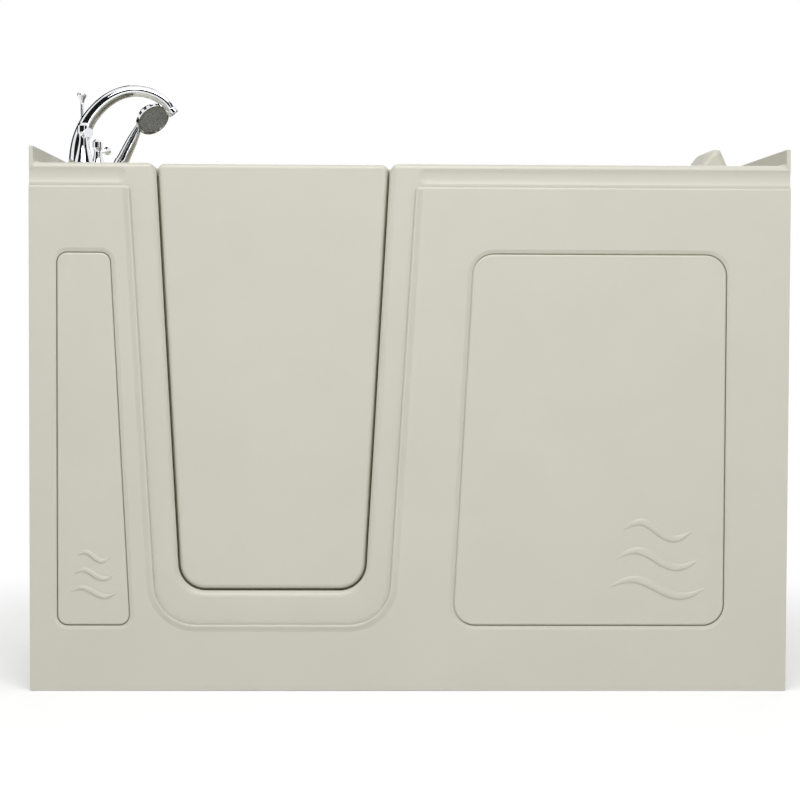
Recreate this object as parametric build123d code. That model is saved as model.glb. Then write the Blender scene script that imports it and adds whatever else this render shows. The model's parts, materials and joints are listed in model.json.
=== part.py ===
from build123d import *
import math
import os

# Walk-in alcove bathtub. Millimetres; X runs along the tub from the drain end to the seat end,
# Y runs from the front apron (-Y) to the wall behind (+Y), Z is up from the floor.

# Overall size
length = 1524.0
depth = 762.0
deck_height = 1060.0
tile_flange_rise = 32.0
shell_wall = 8.0

# Front face: the bead round the door is foremost, then apron, then shell band, then door
bead_rise = 4.0
bead_width = 15.0
bead_crest = 4.0
apron_sheet = 5.0
apron_top_radius = 4.5
apron_top_corner = 7.0
apron_step = 6.0
apron_floor_gap = 2.0
apron_overlap = 14.0
apron_return = 20.0
band_height = 46.0
band_skirt = 70.0
band_cove_height = 30.0
band_cove_depth = 3.0
band_cove_inset = 22.0
door_recess = 10.0
deck_nose_radius = 10.0
cove_radius = 9.0

# Door surround, seen from the front
door_centre_inset = 486.0
door_half_top = 231.0
door_half_foot = 183.6
door_foot_height = 204.6
door_corner = 52.0
door_gap = 3.0
jamb_draft = 4.0
jamb_wall = 8.0
jamb_nose_radius = 15.0
jamb_nose_depth = 22.0
notch_radius = 20.0
surround_top = 53.5
surround_foot = 47.5
surround_drop = 69.0
surround_corner = 82.0
hairline = 1.5

# Basin inside
basin_left_inset = 177.0
basin_right_inset = 162.0
basin_front_inset = 75.0
basin_rear_inset = 60.0
floor_height = 150.0
seat_rise = 432.0
seat_front_inset = 610.0
seat_depth = 400.0
seat_fall = 6.0
riser_lean = 18.0
front_corner = 28.0
rear_corner = 55.0
floor_corner = 60.0
seat_nose = 30.0
rim_radius = 7.0

# Neck rest on the deck behind the seat
neck_rest_rise = 51.0
neck_rest_reach = 78.0
neck_rest_width = 220.0
neck_rest_slope = 38.0
neck_rest_top = 17.0
neck_rest_crest_radius = 9.0
neck_rest_end_radius = 14.0

# Door, hinge, seal and latch
door_skin = 6.0
door_top_drop = 1.5
flange_plate = 10.0
flange_lap = 16.0
flange_top_drop = 10.0
flange_corner = 8.0
flange_edge_radius = 3.0
core_gap = 1.0
door_front_radius = 9.0
door_top_radius = 12.0
seal_thick = 3.6
seal_width = 8.0
seal_inset = 2.0
seat_gap = 0.4
hinge_inset = 53.0
hinge_offset = 9.2
knuckle_radius = 7.0
hinge_pin_radius = 3.5
leaf_thick = 3.0
leaf_width = 26.0
wall_leaf_width = 18.0
hinge_foot = 250.0
hinge_length = 770.0
knuckle_count = 7
knuckle_gap = 0.5
knuckle_side_gap = 0.6
running_gap = 0.05
latch_height = 880.0
latch_edge_inset = 32.0
latch_boss_radius = 15.0
latch_boss_rise = 8.0
latch_bar = 9.0
latch_bar_width = 16.0
latch_lever_reach = 95.0
latch_tongue_reach = 54.0
latch_tongue_radius = 6.0
latch_lip_gap = 0.8
latch_riser_gap = 2.0
keeper_plate = 3.0
keeper_height = 60.0
keeper_lip = 24.0

# Access panels in the apron
panel_gap = 2.0
panel_sheet = 4.6
panel_foot_height = 134.0
panel_top_height = 880.0
window_lip = 14.0
window_lip_sheet = 4.0
window_roll = 9.0
window_roll_depth = 3.0
panel_edge_radius = 4.0
left_panel_left = 56.0
left_panel_right_top = 161.0
left_panel_right_foot = 200.0
left_panel_corner = 20.0
right_panel_left_top = 888.5
right_panel_left_foot = 849.5
right_panel_right_inset = 128.0
right_panel_corner = 42.0
stud_radius = 4.0
stud_length = 14.0
stud_inset = 34.0
socket_radius = 8.0
stud_gap = 0.4

# Steel frame
tube = 25.0
tube_wall = 2.0
base_rail_height = 102.0
rail_front_inset = 46.0
rail_rear_inset = 28.0
frame_end_inset = 22.0
door_post_gap = 18.0
floor_board = 15.0
board_inset = 20.0
board_hole_gap = 3.0
cross_member_at = (340.0, 620.0, 860.0)
seat_leg_inset = 150.0
seat_leg_behind_nose = (176.0, 416.0)
top_rail_drop = 62.0
bracket_inset = 90.0
bracket_width = 30.0
bracket_thick = 3.0

# Feet
foot_inset = 72.0
foot_stud_radius = 6.0
foot_pad_radius = 26.0
foot_pad_thick = 12.0
foot_nut_across = 19.0
foot_nut_thick = 9.0
foot_stud_in_rail = 12.0

# Waste and overflow
drain_x = 292.0
waste_y = 20.0
drain_flange_radius = 36.0
drain_throat_radius = 22.0
drain_flange_thick = 3.0
drain_wall = 3.0
stopper_radius = 27.0
stopper_thick = 5.0
stopper_lift_gap = 1.0
shoe_radius = 32.0
shoe_spigot = 16.0
socket_wall = 4.0
shoe_height = 44.0
waste_radius = 19.05
waste_height = 96.0
overflow_pipe_gap = 10.0
overflow_height = 880.0
overflow_plate_radius = 38.0
overflow_plate_thick = 7.0
overflow_slot = 28.0
overflow_knob_radius = 24.0
overflow_knob_thick = 14.0
knob_flutes = 8
flute_radius = 6.5
tee_radius = 24.0
tee_reach = 34.0
tee_socket = 11.0
tee_foot_drop = 26.0
spigot_radius = 18.5
tailpiece_length = 41.0
tailpiece_spigot = 6.0

# Taps on the deck at the drain end
spout_x = 61.0
spout_y = -30.0
spout_base_radius = 30.0
spout_foot_thick = 5.0
spout_neck_radius = 16.0
spout_tip_radius = 11.5
spout_reach = 195.0
spout_rise = 173.0
aerator_radius = 13.5
aerator_length = 12.0
diverter_back = 45.0
diverter_rod_radius = 3.2
diverter_top = 172.0
diverter_knob_radius = 10.0
handle_height = 87.0
handle_base_radius = 24.0
handle_cap_radius = 10.5
lever_reach = 48.0
lever_height = 58.0
hot_handle_x = 94.0
hot_handle_y = -250.0
cold_handle_x = 72.0
cold_handle_y = 220.0
lever_angle = 70.0
handle_lift = 0.4
escutcheon_radius = 27.0
escutcheon_thick = 6.0
valve_radius = 17.0
valve_drop = 96.0
supply_radius = 7.94
supply_drop = 78.0
inlet_length = 46.0
shank_radius = 12.0
shank_nut_radius = 20.0
shank_nut_thick = 8.0

# Hand shower
shower_x = 122.0
shower_y = 110.0
shower_lean = 26.2
holder_base_radius = 24.0
holder_height = 36.0
holder_cup_radius = 16.0
holder_stub = 40.0
shower_tail_radius = 11.4
shower_grip_radius = 15.0
shower_neck_radius = 6.6
shower_fit_gap = 0.4
shower_seat_depth = 22.0
shower_head_along = 157.0
shower_head_offset = 33.0
shower_head_radius = 34.0
shower_head_depth = 34.0
shower_face_radius = 31.0
shower_face_thick = 2.5
lug_ring_radius = 37.5
lug_ring_thick = 10.0
lug_count = 16
lug_depth = 3.0

# Grab bar on the wall behind
grab_bar_left = 640.0
grab_bar_right = 1060.0
grab_bar_height = 880.0
grab_bar_radius = 16.0
grab_bar_standoff = 54.0
grab_bar_bend = 34.0
grab_flange_radius = 38.0
grab_flange_thick = 6.0

# Places worked out from the sizes above
left_x = -length / 2
right_x = length / 2
front_y = -depth / 2
rear_y = depth / 2
flange_top = deck_height + tile_flange_rise
door_centre_x = left_x + door_centre_inset
seat_front_x = right_x - seat_front_inset
apron_y = front_y + bead_rise
apron_back_y = apron_y + apron_sheet
band_y = apron_y + apron_step
door_face_y = band_y + door_recess
basin_left = left_x + basin_left_inset
basin_right = right_x - basin_right_inset
basin_front = front_y + basin_front_inset
basin_rear = rear_y - basin_rear_inset
apron_top = deck_height - band_height
skirt_foot = deck_height - band_skirt
seat_height = floor_height + seat_rise
flange_y = basin_front + seal_thick + seat_gap
door_leaf_y = flange_y + flange_plate
hinge_x = basin_left + hinge_inset
hinge_y = basin_front + hinge_offset
hinge_head = hinge_foot + hinge_length - knuckle_gap
rail_front_y = front_y + rail_front_inset
rail_rear_y = rear_y - rail_rear_inset
rail_top = base_rail_height + tube
overflow_pipe_x = basin_left - shell_wall - overflow_pipe_gap - waste_radius


def block(x_range, y_range, z_range):
    """Box between two limits on each axis."""
    limits = (x_range, y_range, z_range)
    size = [high - low for low, high in limits]
    middle = [(low + high) / 2 for low, high in limits]
    return Pos(*middle) * Box(*size)


def front_slab(outline, y_front, y_rear):
    """Front outline (X, Z) made solid between two depths."""
    return extrude(Plane.XZ.offset(-y_rear) * outline, y_rear - y_front)


def bar(radius, start, end):
    """Round bar between two points."""
    run = Vector(*end) - Vector(*start)
    return extrude(Plane(origin=start, z_dir=run) * Circle(radius), run.length)


def turned(profile, place, smooth=True):
    """Solid turned about the vertical through a place, from (radius, height) pairs."""
    side = Spline(*profile) if smooth else Polyline(*profile)
    foot = Line((0, profile[0][1]), profile[0])
    head = Line(profile[-1], (0, profile[-1][1]))
    axis = Line(head @ 1, foot @ 0)
    return Pos(*place) * revolve(Plane.XZ * make_face([foot, side, head, axis]), Axis.Z)


def square_tube(x_range, y_range, z_range, along):
    """Hollow square tube with open ends, running along one axis."""
    limits = [x_range, y_range, z_range]
    bore = [(low + tube_wall, high - tube_wall) for low, high in limits]
    bore[along] = (limits[along][0] - 1, limits[along][1] + 1)
    return block(*limits) - block(*bore)


def group(solids):
    """Separate solids kept together as one compound."""
    return Compound(children=[solid for shape in solids for solid in shape.solids()])


def save(name, shape):
    """Write one named piece."""
    export_step(shape, f"parts/{name}.step")


def door_half_width(height, extra=0.0):
    """Half width of the tapered door line at a height."""
    taper = (door_half_top - door_half_foot) / (deck_height - door_foot_height)
    return door_half_foot + taper * (height - door_foot_height) + extra


def door_outline(grow, top):
    """Tapered door shape with a rounded foot, grown from the line of the door gap."""
    foot = door_foot_height - grow
    half_foot = door_half_width(foot, grow)
    half_top = door_half_width(top, grow)
    corners = [
        (door_centre_x - half_top, top),
        (door_centre_x - half_foot, foot),
        (door_centre_x + half_foot, foot),
        (door_centre_x + half_top, top),
    ]
    face = make_face(Polyline(*corners, close=True))
    return fillet(face.vertices().sort_by(Axis.Y)[:2], door_corner + grow)


def doorway_outline(grow):
    """Doorway through the front wall, flared where it opens at the deck."""
    shaft = door_outline(grow, deck_height + 1)
    above = Pos(door_centre_x, deck_height + band_height / 2) * Rectangle(length / 2, band_height)
    joined = shaft + above
    level = [v for v in joined.vertices() if abs(v.Y - deck_height) < 1.5]
    shoulders = [v for v in level if abs(v.X - door_centre_x) < 1.3 * door_half_top]
    return fillet(shoulders, notch_radius)


def surround_outline(grow, top):
    """Outer line of the door surround, where the apron is cut away."""
    foot = door_foot_height - surround_drop - grow
    half_top = door_half_top + surround_top + grow
    half_foot = door_half_foot + surround_foot + grow
    corners = [
        (door_centre_x - half_top, top),
        (door_centre_x - half_foot, foot),
        (door_centre_x + half_foot, foot),
        (door_centre_x + half_top, top),
    ]
    face = make_face(Polyline(*corners, close=True))
    return fillet(face.vertices().sort_by(Axis.Y)[:2], surround_corner + grow)


def left_panel_outline(grow):
    """Left access panel: a tall strip that follows the slope of the surround."""
    corners = [
        (left_x + left_panel_left, panel_foot_height),
        (left_x + left_panel_right_foot, panel_foot_height),
        (left_x + left_panel_right_top, panel_top_height),
        (left_x + left_panel_left, panel_top_height),
    ]
    face = make_face(Polyline(*corners, close=True))
    return offset(fillet(face.vertices(), left_panel_corner), grow)


def right_panel_outline(grow):
    """Right access panel: wide, with its left edge sloped like the surround."""
    corners = [
        (left_x + right_panel_left_foot, panel_foot_height),
        (right_x - right_panel_right_inset, panel_foot_height),
        (right_x - right_panel_right_inset, panel_top_height),
        (left_x + right_panel_left_top, panel_top_height),
    ]
    face = make_face(Polyline(*corners, close=True))
    return offset(fillet(face.vertices(), right_panel_corner), grow)


def basin_body(grow):
    """Space inside the basin, grown outwards: footwell, seat and sloped back."""
    seat_back_x = seat_front_x + seat_depth
    top = deck_height + 2 * tile_flange_rise
    back_slope = (basin_right - seat_back_x) / (deck_height - seat_height)
    corners = [
        (basin_left, top),
        (basin_left, floor_height),
        (seat_front_x - riser_lean, floor_height),
        (seat_front_x, seat_height - seat_fall),
        (seat_back_x, seat_height),
        (basin_right + back_slope * (top - deck_height), top),
    ]
    outline = offset(make_face(Polyline(*corners, close=True)), grow, kind=Kind.INTERSECTION)
    low = outline.vertices().sort_by(Axis.Y)
    foot = low[:2].sort_by(Axis.X)
    seat = low[2:4].sort_by(Axis.X)
    outline = fillet(foot[0], floor_corner + grow)
    foot_right = outline.vertices().sort_by_distance((foot[1].X, foot[1].Y))[0]
    outline = fillet(foot_right, front_corner + 12 + grow)
    nose = outline.vertices().sort_by_distance((seat[0].X, seat[0].Y))[0]
    outline = fillet(nose, seat_nose - grow)
    back = outline.vertices().sort_by_distance((seat[1].X, seat[1].Y))[0]
    outline = fillet(back, floor_corner + grow)
    body = front_slab(outline, basin_front - grow, basin_rear + grow)
    for y, radius in ((basin_front - grow, front_corner), (basin_rear + grow, rear_corner)):
        rim = [
            edge
            for edge in body.edges()
            if abs(edge.center().Y - y) < 0.01 and edge.center().Z < top - 1
        ]
        body = fillet(rim, radius + grow)
    below_deck = block((left_x, right_x), (front_y, rear_y), (0, deck_height + tile_flange_rise / 2))
    return body & below_deck


def tile_flange():
    """Upstand on the three sides that meet the alcove walls."""
    z_range = (deck_height - shell_wall, flange_top)
    upstand = block((left_x, left_x + shell_wall), (band_y, rear_y), z_range)
    upstand += block((right_x - shell_wall, right_x), (band_y, rear_y), z_range)
    upstand += block((left_x, right_x), (rear_y - shell_wall, rear_y), z_range)
    return upstand


def flange_coves():
    """Hollow corners between the deck and the tile flange."""
    low, high = deck_height - 1, deck_height + cove_radius
    front, rear = band_y + deck_nose_radius, rear_y - shell_wall
    left, right = left_x + shell_wall, right_x - shell_wall
    left_axis, right_axis, rear_axis = left + cove_radius, right - cove_radius, rear - cove_radius
    left_strip = block((left - 1, left_axis), (front, rear + 1), (low, high))
    left_strip -= bar(cove_radius, (left_axis, front - 1, high), (left_axis, rear + 2, high))
    right_strip = block((right_axis, right + 1), (front, rear + 1), (low, high))
    right_strip -= bar(cove_radius, (right_axis, front - 1, high), (right_axis, rear + 2, high))
    rear_strip = block((left - 1, right + 1), (rear_axis, rear + 1), (low, high))
    rear_strip -= bar(cove_radius, (left - 2, rear_axis, high), (right + 2, rear_axis, high))
    return left_strip + right_strip + rear_strip


def neck_rest(grow):
    """Raised rest on the deck, sloped up from the back of the seat."""
    start = basin_right + rim_radius + 1
    foot = deck_height - grow
    crest = deck_height + neck_rest_rise - grow
    half = neck_rest_width / 2 - grow
    corners = [
        (start + grow, foot),
        (start + neck_rest_slope, crest - 2),
        (start + neck_rest_slope + neck_rest_top, crest),
        (start + neck_rest_reach - grow, foot),
    ]
    outline = make_face(Polyline(*corners, close=True))
    crest_corners = outline.vertices().sort_by(Axis.Y)[2:]
    body = front_slab(fillet(crest_corners, neck_rest_crest_radius), -half, half)
    ends = [e for e in body.edges() if abs(abs(e.center().Y) - half) < 0.01 and e.center().Z > foot + 1]
    return fillet(ends, neck_rest_end_radius - grow)


def deck_tray():
    """Deck with the skirt that hangs round it and the nose along the front."""
    outer = block((left_x, right_x), (band_y, rear_y), (skirt_foot, deck_height))
    nose = outer.edges().filter_by(Axis.X).group_by(Axis.Z)[-1].sort_by(Axis.Y)[0]
    outer = fillet(nose, deck_nose_radius)
    inner = block(
        (left_x + shell_wall, right_x - shell_wall),
        (band_y + shell_wall, rear_y - shell_wall),
        (skirt_foot - 1, deck_height - shell_wall),
    )
    return outer - inner


def door_surround():
    """Moulded frame round the door: face plate, rolled nose and tunnel to the basin."""
    plate_line = surround_outline(apron_overlap, deck_height - deck_nose_radius)
    plate = front_slab(plate_line, band_y, band_y + shell_wall)
    nose_line = door_outline(door_gap / 2 + jamb_nose_depth, deck_height - deck_nose_radius)
    nose = front_slab(nose_line, band_y, band_y + jamb_nose_depth)
    tunnel_line = door_outline(door_gap / 2 + jamb_draft + jamb_wall, deck_height - 1)
    tunnel = front_slab(tunnel_line, band_y + 1, basin_front - 1)
    return plate + nose + tunnel


def on_surround_line(edge, grow):
    """Whether an edge follows the surround line grown by this much."""
    middle = edge.center()
    line = surround_outline(grow, deck_height).edges()
    return min(part.distance_to(Vector(middle.X, middle.Z)) for part in line) < 1


def on_door_line(edge, grow):
    """Whether an edge follows the door line grown by this much."""
    middle = edge.center()
    line = door_outline(grow, deck_height + 2 * jamb_nose_radius).edges()
    return min(part.distance_to(Vector(middle.X, middle.Z)) for part in line) < 1


def doorway():
    """Opening through the front wall: a rolled mouth, wider inside, flared at the deck."""
    before = 6.0
    top = deck_height + before + jamb_nose_radius
    run = basin_front - band_y
    half_gap = door_gap / 2
    slope = jamb_draft / run
    narrow, wide = half_gap - slope * before, half_gap + jamb_draft + slope * before
    front = Plane.XZ.offset(-(band_y - before)) * door_outline(narrow, top)
    rear = Plane.XZ.offset(-(basin_front + before)) * door_outline(wide, top)
    shaft = loft([front.faces()[0], rear.faces()[0]], ruled=True)
    mouth = front_slab(door_outline(half_gap + 1.5 * jamb_nose_radius, top), band_y - before, band_y)
    opening = shaft + mouth
    front_edges = [e for e in opening.edges() if abs(e.center().Y - band_y) < 0.1]
    lip = [e for e in front_edges if e.center().Z < top - 1 and on_door_line(e, half_gap)]
    opening = fillet(lip, jamb_nose_radius)
    notch = doorway_outline(half_gap + jamb_draft / 2)
    return opening + front_slab(notch, band_y - before, basin_front + before)


def deck_holes():
    """Holes through the deck for the taps and the hand shower."""
    places = (
        (spout_x, spout_y, shank_radius + 1),
        (spout_x, spout_y + diverter_back, diverter_rod_radius + 2),
        (hot_handle_x, hot_handle_y, valve_radius - 4),
        (cold_handle_x, cold_handle_y, valve_radius - 4),
        (shower_x, shower_y, shank_radius + 1),
    )
    z_middle = deck_height - shell_wall / 2
    return [
        Pos(left_x + x, y, z_middle) * Cylinder(radius, 3 * shell_wall) for x, y, radius in places
    ]


def waste_holes():
    """Holes for the drain in the floor and the overflow in the end wall."""
    drain = Pos(left_x + drain_x, waste_y, floor_height - shell_wall / 2)
    overflow = Pos(basin_left - shell_wall / 2, waste_y, overflow_height) * Rot(0, 90, 0)
    return [
        drain * Cylinder(drain_throat_radius + drain_wall + 0.5, 3 * shell_wall),
        overflow * Cylinder(waste_radius - 1, 3 * shell_wall),
    ]


def inside_deck(edge):
    """Whether an edge of the deck belongs to the rim of the basin."""
    box = edge.bounding_box()
    clear = shell_wall + 2 * cove_radius
    return left_x + clear < box.min.X and box.max.X < right_x - clear and box.min.Y > band_y + clear


def band_coves():
    """Shallow hollows along the band, each side of the door surround."""
    half = band_cove_height / 2
    radius = (half**2 + band_cove_depth**2) / (2 * band_cove_depth)
    y, z = band_y + band_cove_depth - radius, deck_height - deck_nose_radius - half
    reach = door_half_top + surround_top + band_cove_inset
    right_start, left_start = (door_centre_x + reach, y, z), (door_centre_x - reach, y, z)
    right = bar(radius, right_start, (right_x + 1, y, z)) + Pos(*right_start) * Sphere(radius)
    return [right, bar(radius, (left_x - 1, y, z), left_start) + Pos(*left_start) * Sphere(radius)]


def tub_shell():
    """One moulded shell: deck, basin, seat, door surround, tile flange and neck rest."""
    shell = deck_tray() + tile_flange() + flange_coves()
    outer_basin = basin_body(shell_wall) & block(
        (left_x, right_x), (front_y, rear_y), (0, deck_height - shell_wall / 2)
    )
    shell = shell + outer_basin - basin_body(0)
    rim = [e for e in shell.edges() if abs(e.center().Z - deck_height) < 0.01 and inside_deck(e)]
    shell = fillet(rim, rim_radius)
    shell = shell + door_surround() + neck_rest(0)
    shell = shell - neck_rest(shell_wall) - doorway()
    for hole in deck_holes() + waste_holes() + band_coves():
        shell -= hole
    return shell


def window_lip_ring(panel_outline):
    """Lip behind an apron window that the panel sits against."""
    ring = panel_outline(window_lip) - panel_outline(-window_lip)
    return front_slab(ring, apron_back_y, apron_back_y + window_lip_sheet)


def stud_places(panel_outline):
    """Where the press studs of a panel stand: near its four corners."""
    line = panel_outline(-window_lip / 2)
    box = line.bounding_box()
    low, high = box.min.Y + stud_inset, box.max.Y - stud_inset
    places = []
    for height in (low, high):
        crossing = line & Pos(0, height) * Rectangle(4 * length, 0.01)
        span = crossing.bounding_box()
        places += [(span.min.X, height), (span.max.X, height)]
    return places


def at_studs(panel_outline, radius, y_front, y_rear):
    """One round bar at each stud of a panel."""
    return [bar(radius, (x, y_front, z), (x, y_rear, z)) for x, z in stud_places(panel_outline)]


def apron_sheet_outline():
    """Front sheet (X, Z) with the doorway surround cut out and its top corners eased."""
    middle = (apron_floor_gap + apron_top) / 2
    sheet = Pos(0, middle) * Rectangle(length, apron_top - apron_floor_gap)
    sheet -= surround_outline(hairline, apron_top + bead_width)
    beside = [v for v in sheet.vertices() if abs(v.X) < right_x - 1 and abs(v.Y - apron_top) < 0.01]
    return fillet(beside, apron_top_corner)


def surround_bead():
    """Bead round the surround: steep at the surround, with a long slope to the sheet."""
    foot = Plane.XZ.offset(-(apron_y + 0.5)) * surround_outline(hairline + bead_width, apron_top)
    crest = Plane.XZ.offset(-front_y) * surround_outline(hairline + bead_crest, apron_top)
    bead = loft([foot.faces()[0], crest.faces()[0]], ruled=True)
    bead -= front_slab(surround_outline(hairline, apron_top + 1), front_y - 1, apron_back_y)
    front_edges = [e for e in bead.edges() if abs(e.center().Y - front_y) < 0.01]
    steep = [e for e in front_edges if e.center().Z < apron_top - 1 and on_surround_line(e, hairline)]
    return fillet(steep, bead_crest - 1)


def window_cut(outline):
    """Hole for a panel, with its front edge rolled inwards."""
    hole = front_slab(outline(panel_gap), front_y - 1, apron_back_y + 1)
    roll = Plane.XZ.offset(-(apron_y + window_roll_depth)) * outline(panel_gap)
    mouth = Plane.XZ.offset(-(apron_y - 0.5)) * outline(panel_gap + window_roll)
    return hole + loft([roll.faces()[0], mouth.faces()[0]], ruled=True)


def front_apron():
    """Front sheet with a bead round the door surround and a window on each side."""
    sheet = front_slab(apron_sheet_outline(), apron_y, apron_back_y)
    front_edges = [e for e in sheet.edges() if abs(e.center().Y - apron_y) < 0.01]
    top_edges = [e for e in front_edges if abs(e.center().Z - apron_top) < 0.01]
    sheet = fillet(top_edges, apron_top_radius)
    for side in (left_x, right_x - apron_sheet):
        y_range = (apron_y + apron_sheet / 2, apron_y + apron_return)
        sheet += block((side, side + apron_sheet), y_range, (apron_floor_gap, skirt_foot - 1))
    sheet += surround_bead() & block((left_x, right_x), (front_y, rear_y), (0, apron_top - apron_top_corner))
    for outline in (left_panel_outline, right_panel_outline):
        sheet -= window_cut(outline)
        sheet += window_lip_ring(outline)
        for hole in at_studs(outline, stud_radius + stud_gap, front_y, apron_back_y + 10):
            sheet -= hole
    return sheet


def access_panel(outline):
    """Flush panel with softly rounded edges and a press stud near each corner."""
    panel = front_slab(outline(0), apron_y, apron_y + panel_sheet)
    rim = panel.faces().sort_by(Axis.Y)[0].edges()
    return fillet(rim, panel_edge_radius)


def panel_studs(outline):
    """Press studs on the back of an access panel."""
    start = apron_y + panel_sheet
    return group(at_studs(outline, stud_radius, start, start + stud_length))


def panel_sockets():
    """Sockets behind the window lips that grip the press studs."""
    sockets = []
    back = apron_back_y + window_lip_sheet
    for outline in (left_panel_outline, right_panel_outline):
        bodies = at_studs(outline, socket_radius, back, back + stud_length)
        bores = at_studs(outline, stud_radius + stud_gap, back - 1, apron_y + panel_sheet + stud_length + 1)
        sockets += [body - bore for body, bore in zip(bodies, bores)]
    return group(sockets)


def door_plug(inset, past_rear):
    """Tapered block that fills the doorway, drawn in by an inset on every side."""
    top = deck_height - door_top_drop - inset
    slope = jamb_draft / (basin_front - band_y)
    grow_front = slope * (door_face_y - band_y) - door_gap / 2 - inset
    grow_rear = slope * (flange_y - band_y) - door_gap / 2 - inset
    front = Plane.XZ.offset(-(door_face_y + inset)) * door_outline(grow_front, top)
    rear = Plane.XZ.offset(-(flange_y + past_rear)) * door_outline(grow_rear, top)
    return loft([front.faces()[0], rear.faces()[0]], ruled=True)


def door_outer():
    """Outer door moulding: a tapered tray that fills the doorway."""
    body = door_plug(0, 0)
    top = deck_height - door_top_drop
    level = [e for e in body.edges() if abs(e.center().Z - top) < 0.5]
    crowns = [e for e in level if abs(e.center().X - door_centre_x) > door_half_top / 2]
    body = fillet(crowns, door_top_radius)
    rim = [e for e in body.edges() if abs(e.center().Y - door_face_y) < 0.01]
    body = fillet(rim, door_front_radius)
    return body - door_plug(door_skin, 1)


def flange_outline():
    """Inner door plate: straight at the hinge, tapered like the door at the free edge."""
    grow = door_gap / 2 + jamb_draft + flange_lap
    top = deck_height - flange_top_drop
    foot = door_foot_height - grow
    left = hinge_x + knuckle_radius + 1
    corners = [
        (left, top),
        (left, foot),
        (door_centre_x + door_half_width(foot, grow), foot),
        (door_centre_x + door_half_width(top, grow), top),
    ]
    face = make_face(Polyline(*corners, close=True))
    low = face.vertices().sort_by(Axis.Y)
    free_foot = low[:2].sort_by(Axis.X)[1]
    face = fillet(free_foot, door_corner + grow)
    rest = [v for v in face.vertices() if v.Y > top - 1 or v.X < left + 1]
    return fillet(rest, flange_corner)


def door_inner():
    """Inner door moulding with the flange that closes on the seal."""
    plate = front_slab(flange_outline(), flange_y, flange_y + flange_plate)
    rim = plate.faces().sort_by(Axis.Y)[-1].edges()
    return fillet(rim, flange_edge_radius)


def door_core():
    """Stiff board bonded between the two door mouldings."""
    inset = door_skin + core_gap
    line = door_outline(-door_gap / 2 - inset, deck_height - door_top_drop - inset)
    return front_slab(line, door_face_y + inset, flange_y - core_gap / 2)


def door_seal():
    """Rubber seal on the wall round the doorway, under the door flange."""
    inner = door_gap / 2 + jamb_draft + seal_inset
    top = deck_height - 2 * flange_top_drop
    ring = door_outline(inner + seal_width, top) - door_outline(inner, top + 1)
    return front_slab(ring, basin_front, basin_front + seal_thick)


def knuckle_spans(on_door):
    """Heights of the hinge knuckles that belong to one leaf."""
    pitch = hinge_length / knuckle_count
    first = 1 if on_door else 0
    starts = [hinge_foot + i * pitch for i in range(first, knuckle_count, 2)]
    return [(start, start + pitch - knuckle_gap) for start in starts]


def hinge_leaf(on_door, plate):
    """Half of the hinge: a plate with its knuckles, bored for the pin."""
    leaf = plate
    across = knuckle_radius + knuckle_side_gap
    for low, high in knuckle_spans(not on_door):
        leaf -= block(
            (hinge_x - across, hinge_x + across),
            (hinge_y - 2 * knuckle_radius, hinge_y + 2 * knuckle_radius),
            (low - knuckle_gap, high + knuckle_gap),
        )
    for low, high in knuckle_spans(on_door):
        leaf += bar(knuckle_radius, (hinge_x, hinge_y, low), (hinge_x, hinge_y, high))
    bore = hinge_pin_radius + (running_gap if on_door else 0)
    return leaf - bar(bore, (hinge_x, hinge_y, hinge_foot - 1), (hinge_x, hinge_y, hinge_head + 1))


def hinge_wall_leaf():
    """Hinge leaf screwed to the wall beside the doorway."""
    x_range = (hinge_x - wall_leaf_width, hinge_x)
    plate = block(x_range, (basin_front, basin_front + leaf_thick), (hinge_foot, hinge_head))
    return hinge_leaf(False, plate)


def hinge_door_leaf():
    """Hinge leaf screwed to the inner face of the door flange."""
    x_range = (hinge_x, hinge_x + knuckle_radius + leaf_width)
    z_range = (hinge_foot + knuckle_gap, hinge_head - knuckle_gap)
    plate = block(x_range, (door_leaf_y, door_leaf_y + leaf_thick), z_range)
    return hinge_leaf(True, plate)


def hinge_pin():
    """Pin through all the hinge knuckles."""
    return bar(hinge_pin_radius, (hinge_x, hinge_y, hinge_foot), (hinge_x, hinge_y, hinge_head))


def latch_centre():
    """Middle of the latch spindle on the inner face of the flange."""
    grow = door_gap / 2 + jamb_draft + flange_lap
    edge = door_centre_x + door_half_width(latch_height, grow)
    return edge - latch_edge_inset, door_leaf_y + seat_gap, latch_height


def latch_lever():
    """Turning latch: boss, hanging lever and the tongue that goes under the keeper."""
    x, y, z = latch_centre()
    lever_y = (y + latch_boss_rise - 1, y + latch_boss_rise + latch_bar)
    boss = bar(latch_boss_radius, (x, y, z), (x, lever_y[1], z))
    lever_tip = Pos(0, -latch_lever_reach) * Circle(latch_bar_width / 2)
    lever = make_hull([*Circle(0.8 * latch_boss_radius).edges(), *lever_tip.edges()])
    tongue_tip = Pos(0, latch_tongue_reach - latch_tongue_radius) * Circle(latch_tongue_radius)
    tongue = make_hull([*Circle(0.7 * latch_boss_radius).edges(), *tongue_tip.edges()])
    lever = front_slab(Pos(x, z) * lever, *lever_y)
    tongue = front_slab(Pos(x, z) * tongue, y + 1, y + latch_bar)
    return boss + lever + tongue


def latch_keeper():
    """Bracket on the wall with a lip over the latch tongue."""
    x, y, z = latch_centre()
    riser_x = x + latch_tongue_reach + latch_riser_gap
    lip_y = y + latch_bar + latch_lip_gap
    z_range = (z - keeper_height / 2, z + keeper_height / 2)
    foot = block((riser_x, riser_x + keeper_lip), (basin_front, basin_front + keeper_plate), z_range)
    riser = block((riser_x, riser_x + keeper_plate), (basin_front, lip_y + keeper_plate), z_range)
    lip_z = (z - keeper_height / 3, z + keeper_height / 3)
    lip_x = (riser_x - 0.75 * keeper_lip, riser_x + keeper_plate)
    lip = block(lip_x, (lip_y, lip_y + keeper_plate), lip_z)
    return foot + riser + lip


def tube_span(centre):
    """Limits of a tube across its width."""
    return centre - tube / 2, centre + tube / 2


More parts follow.
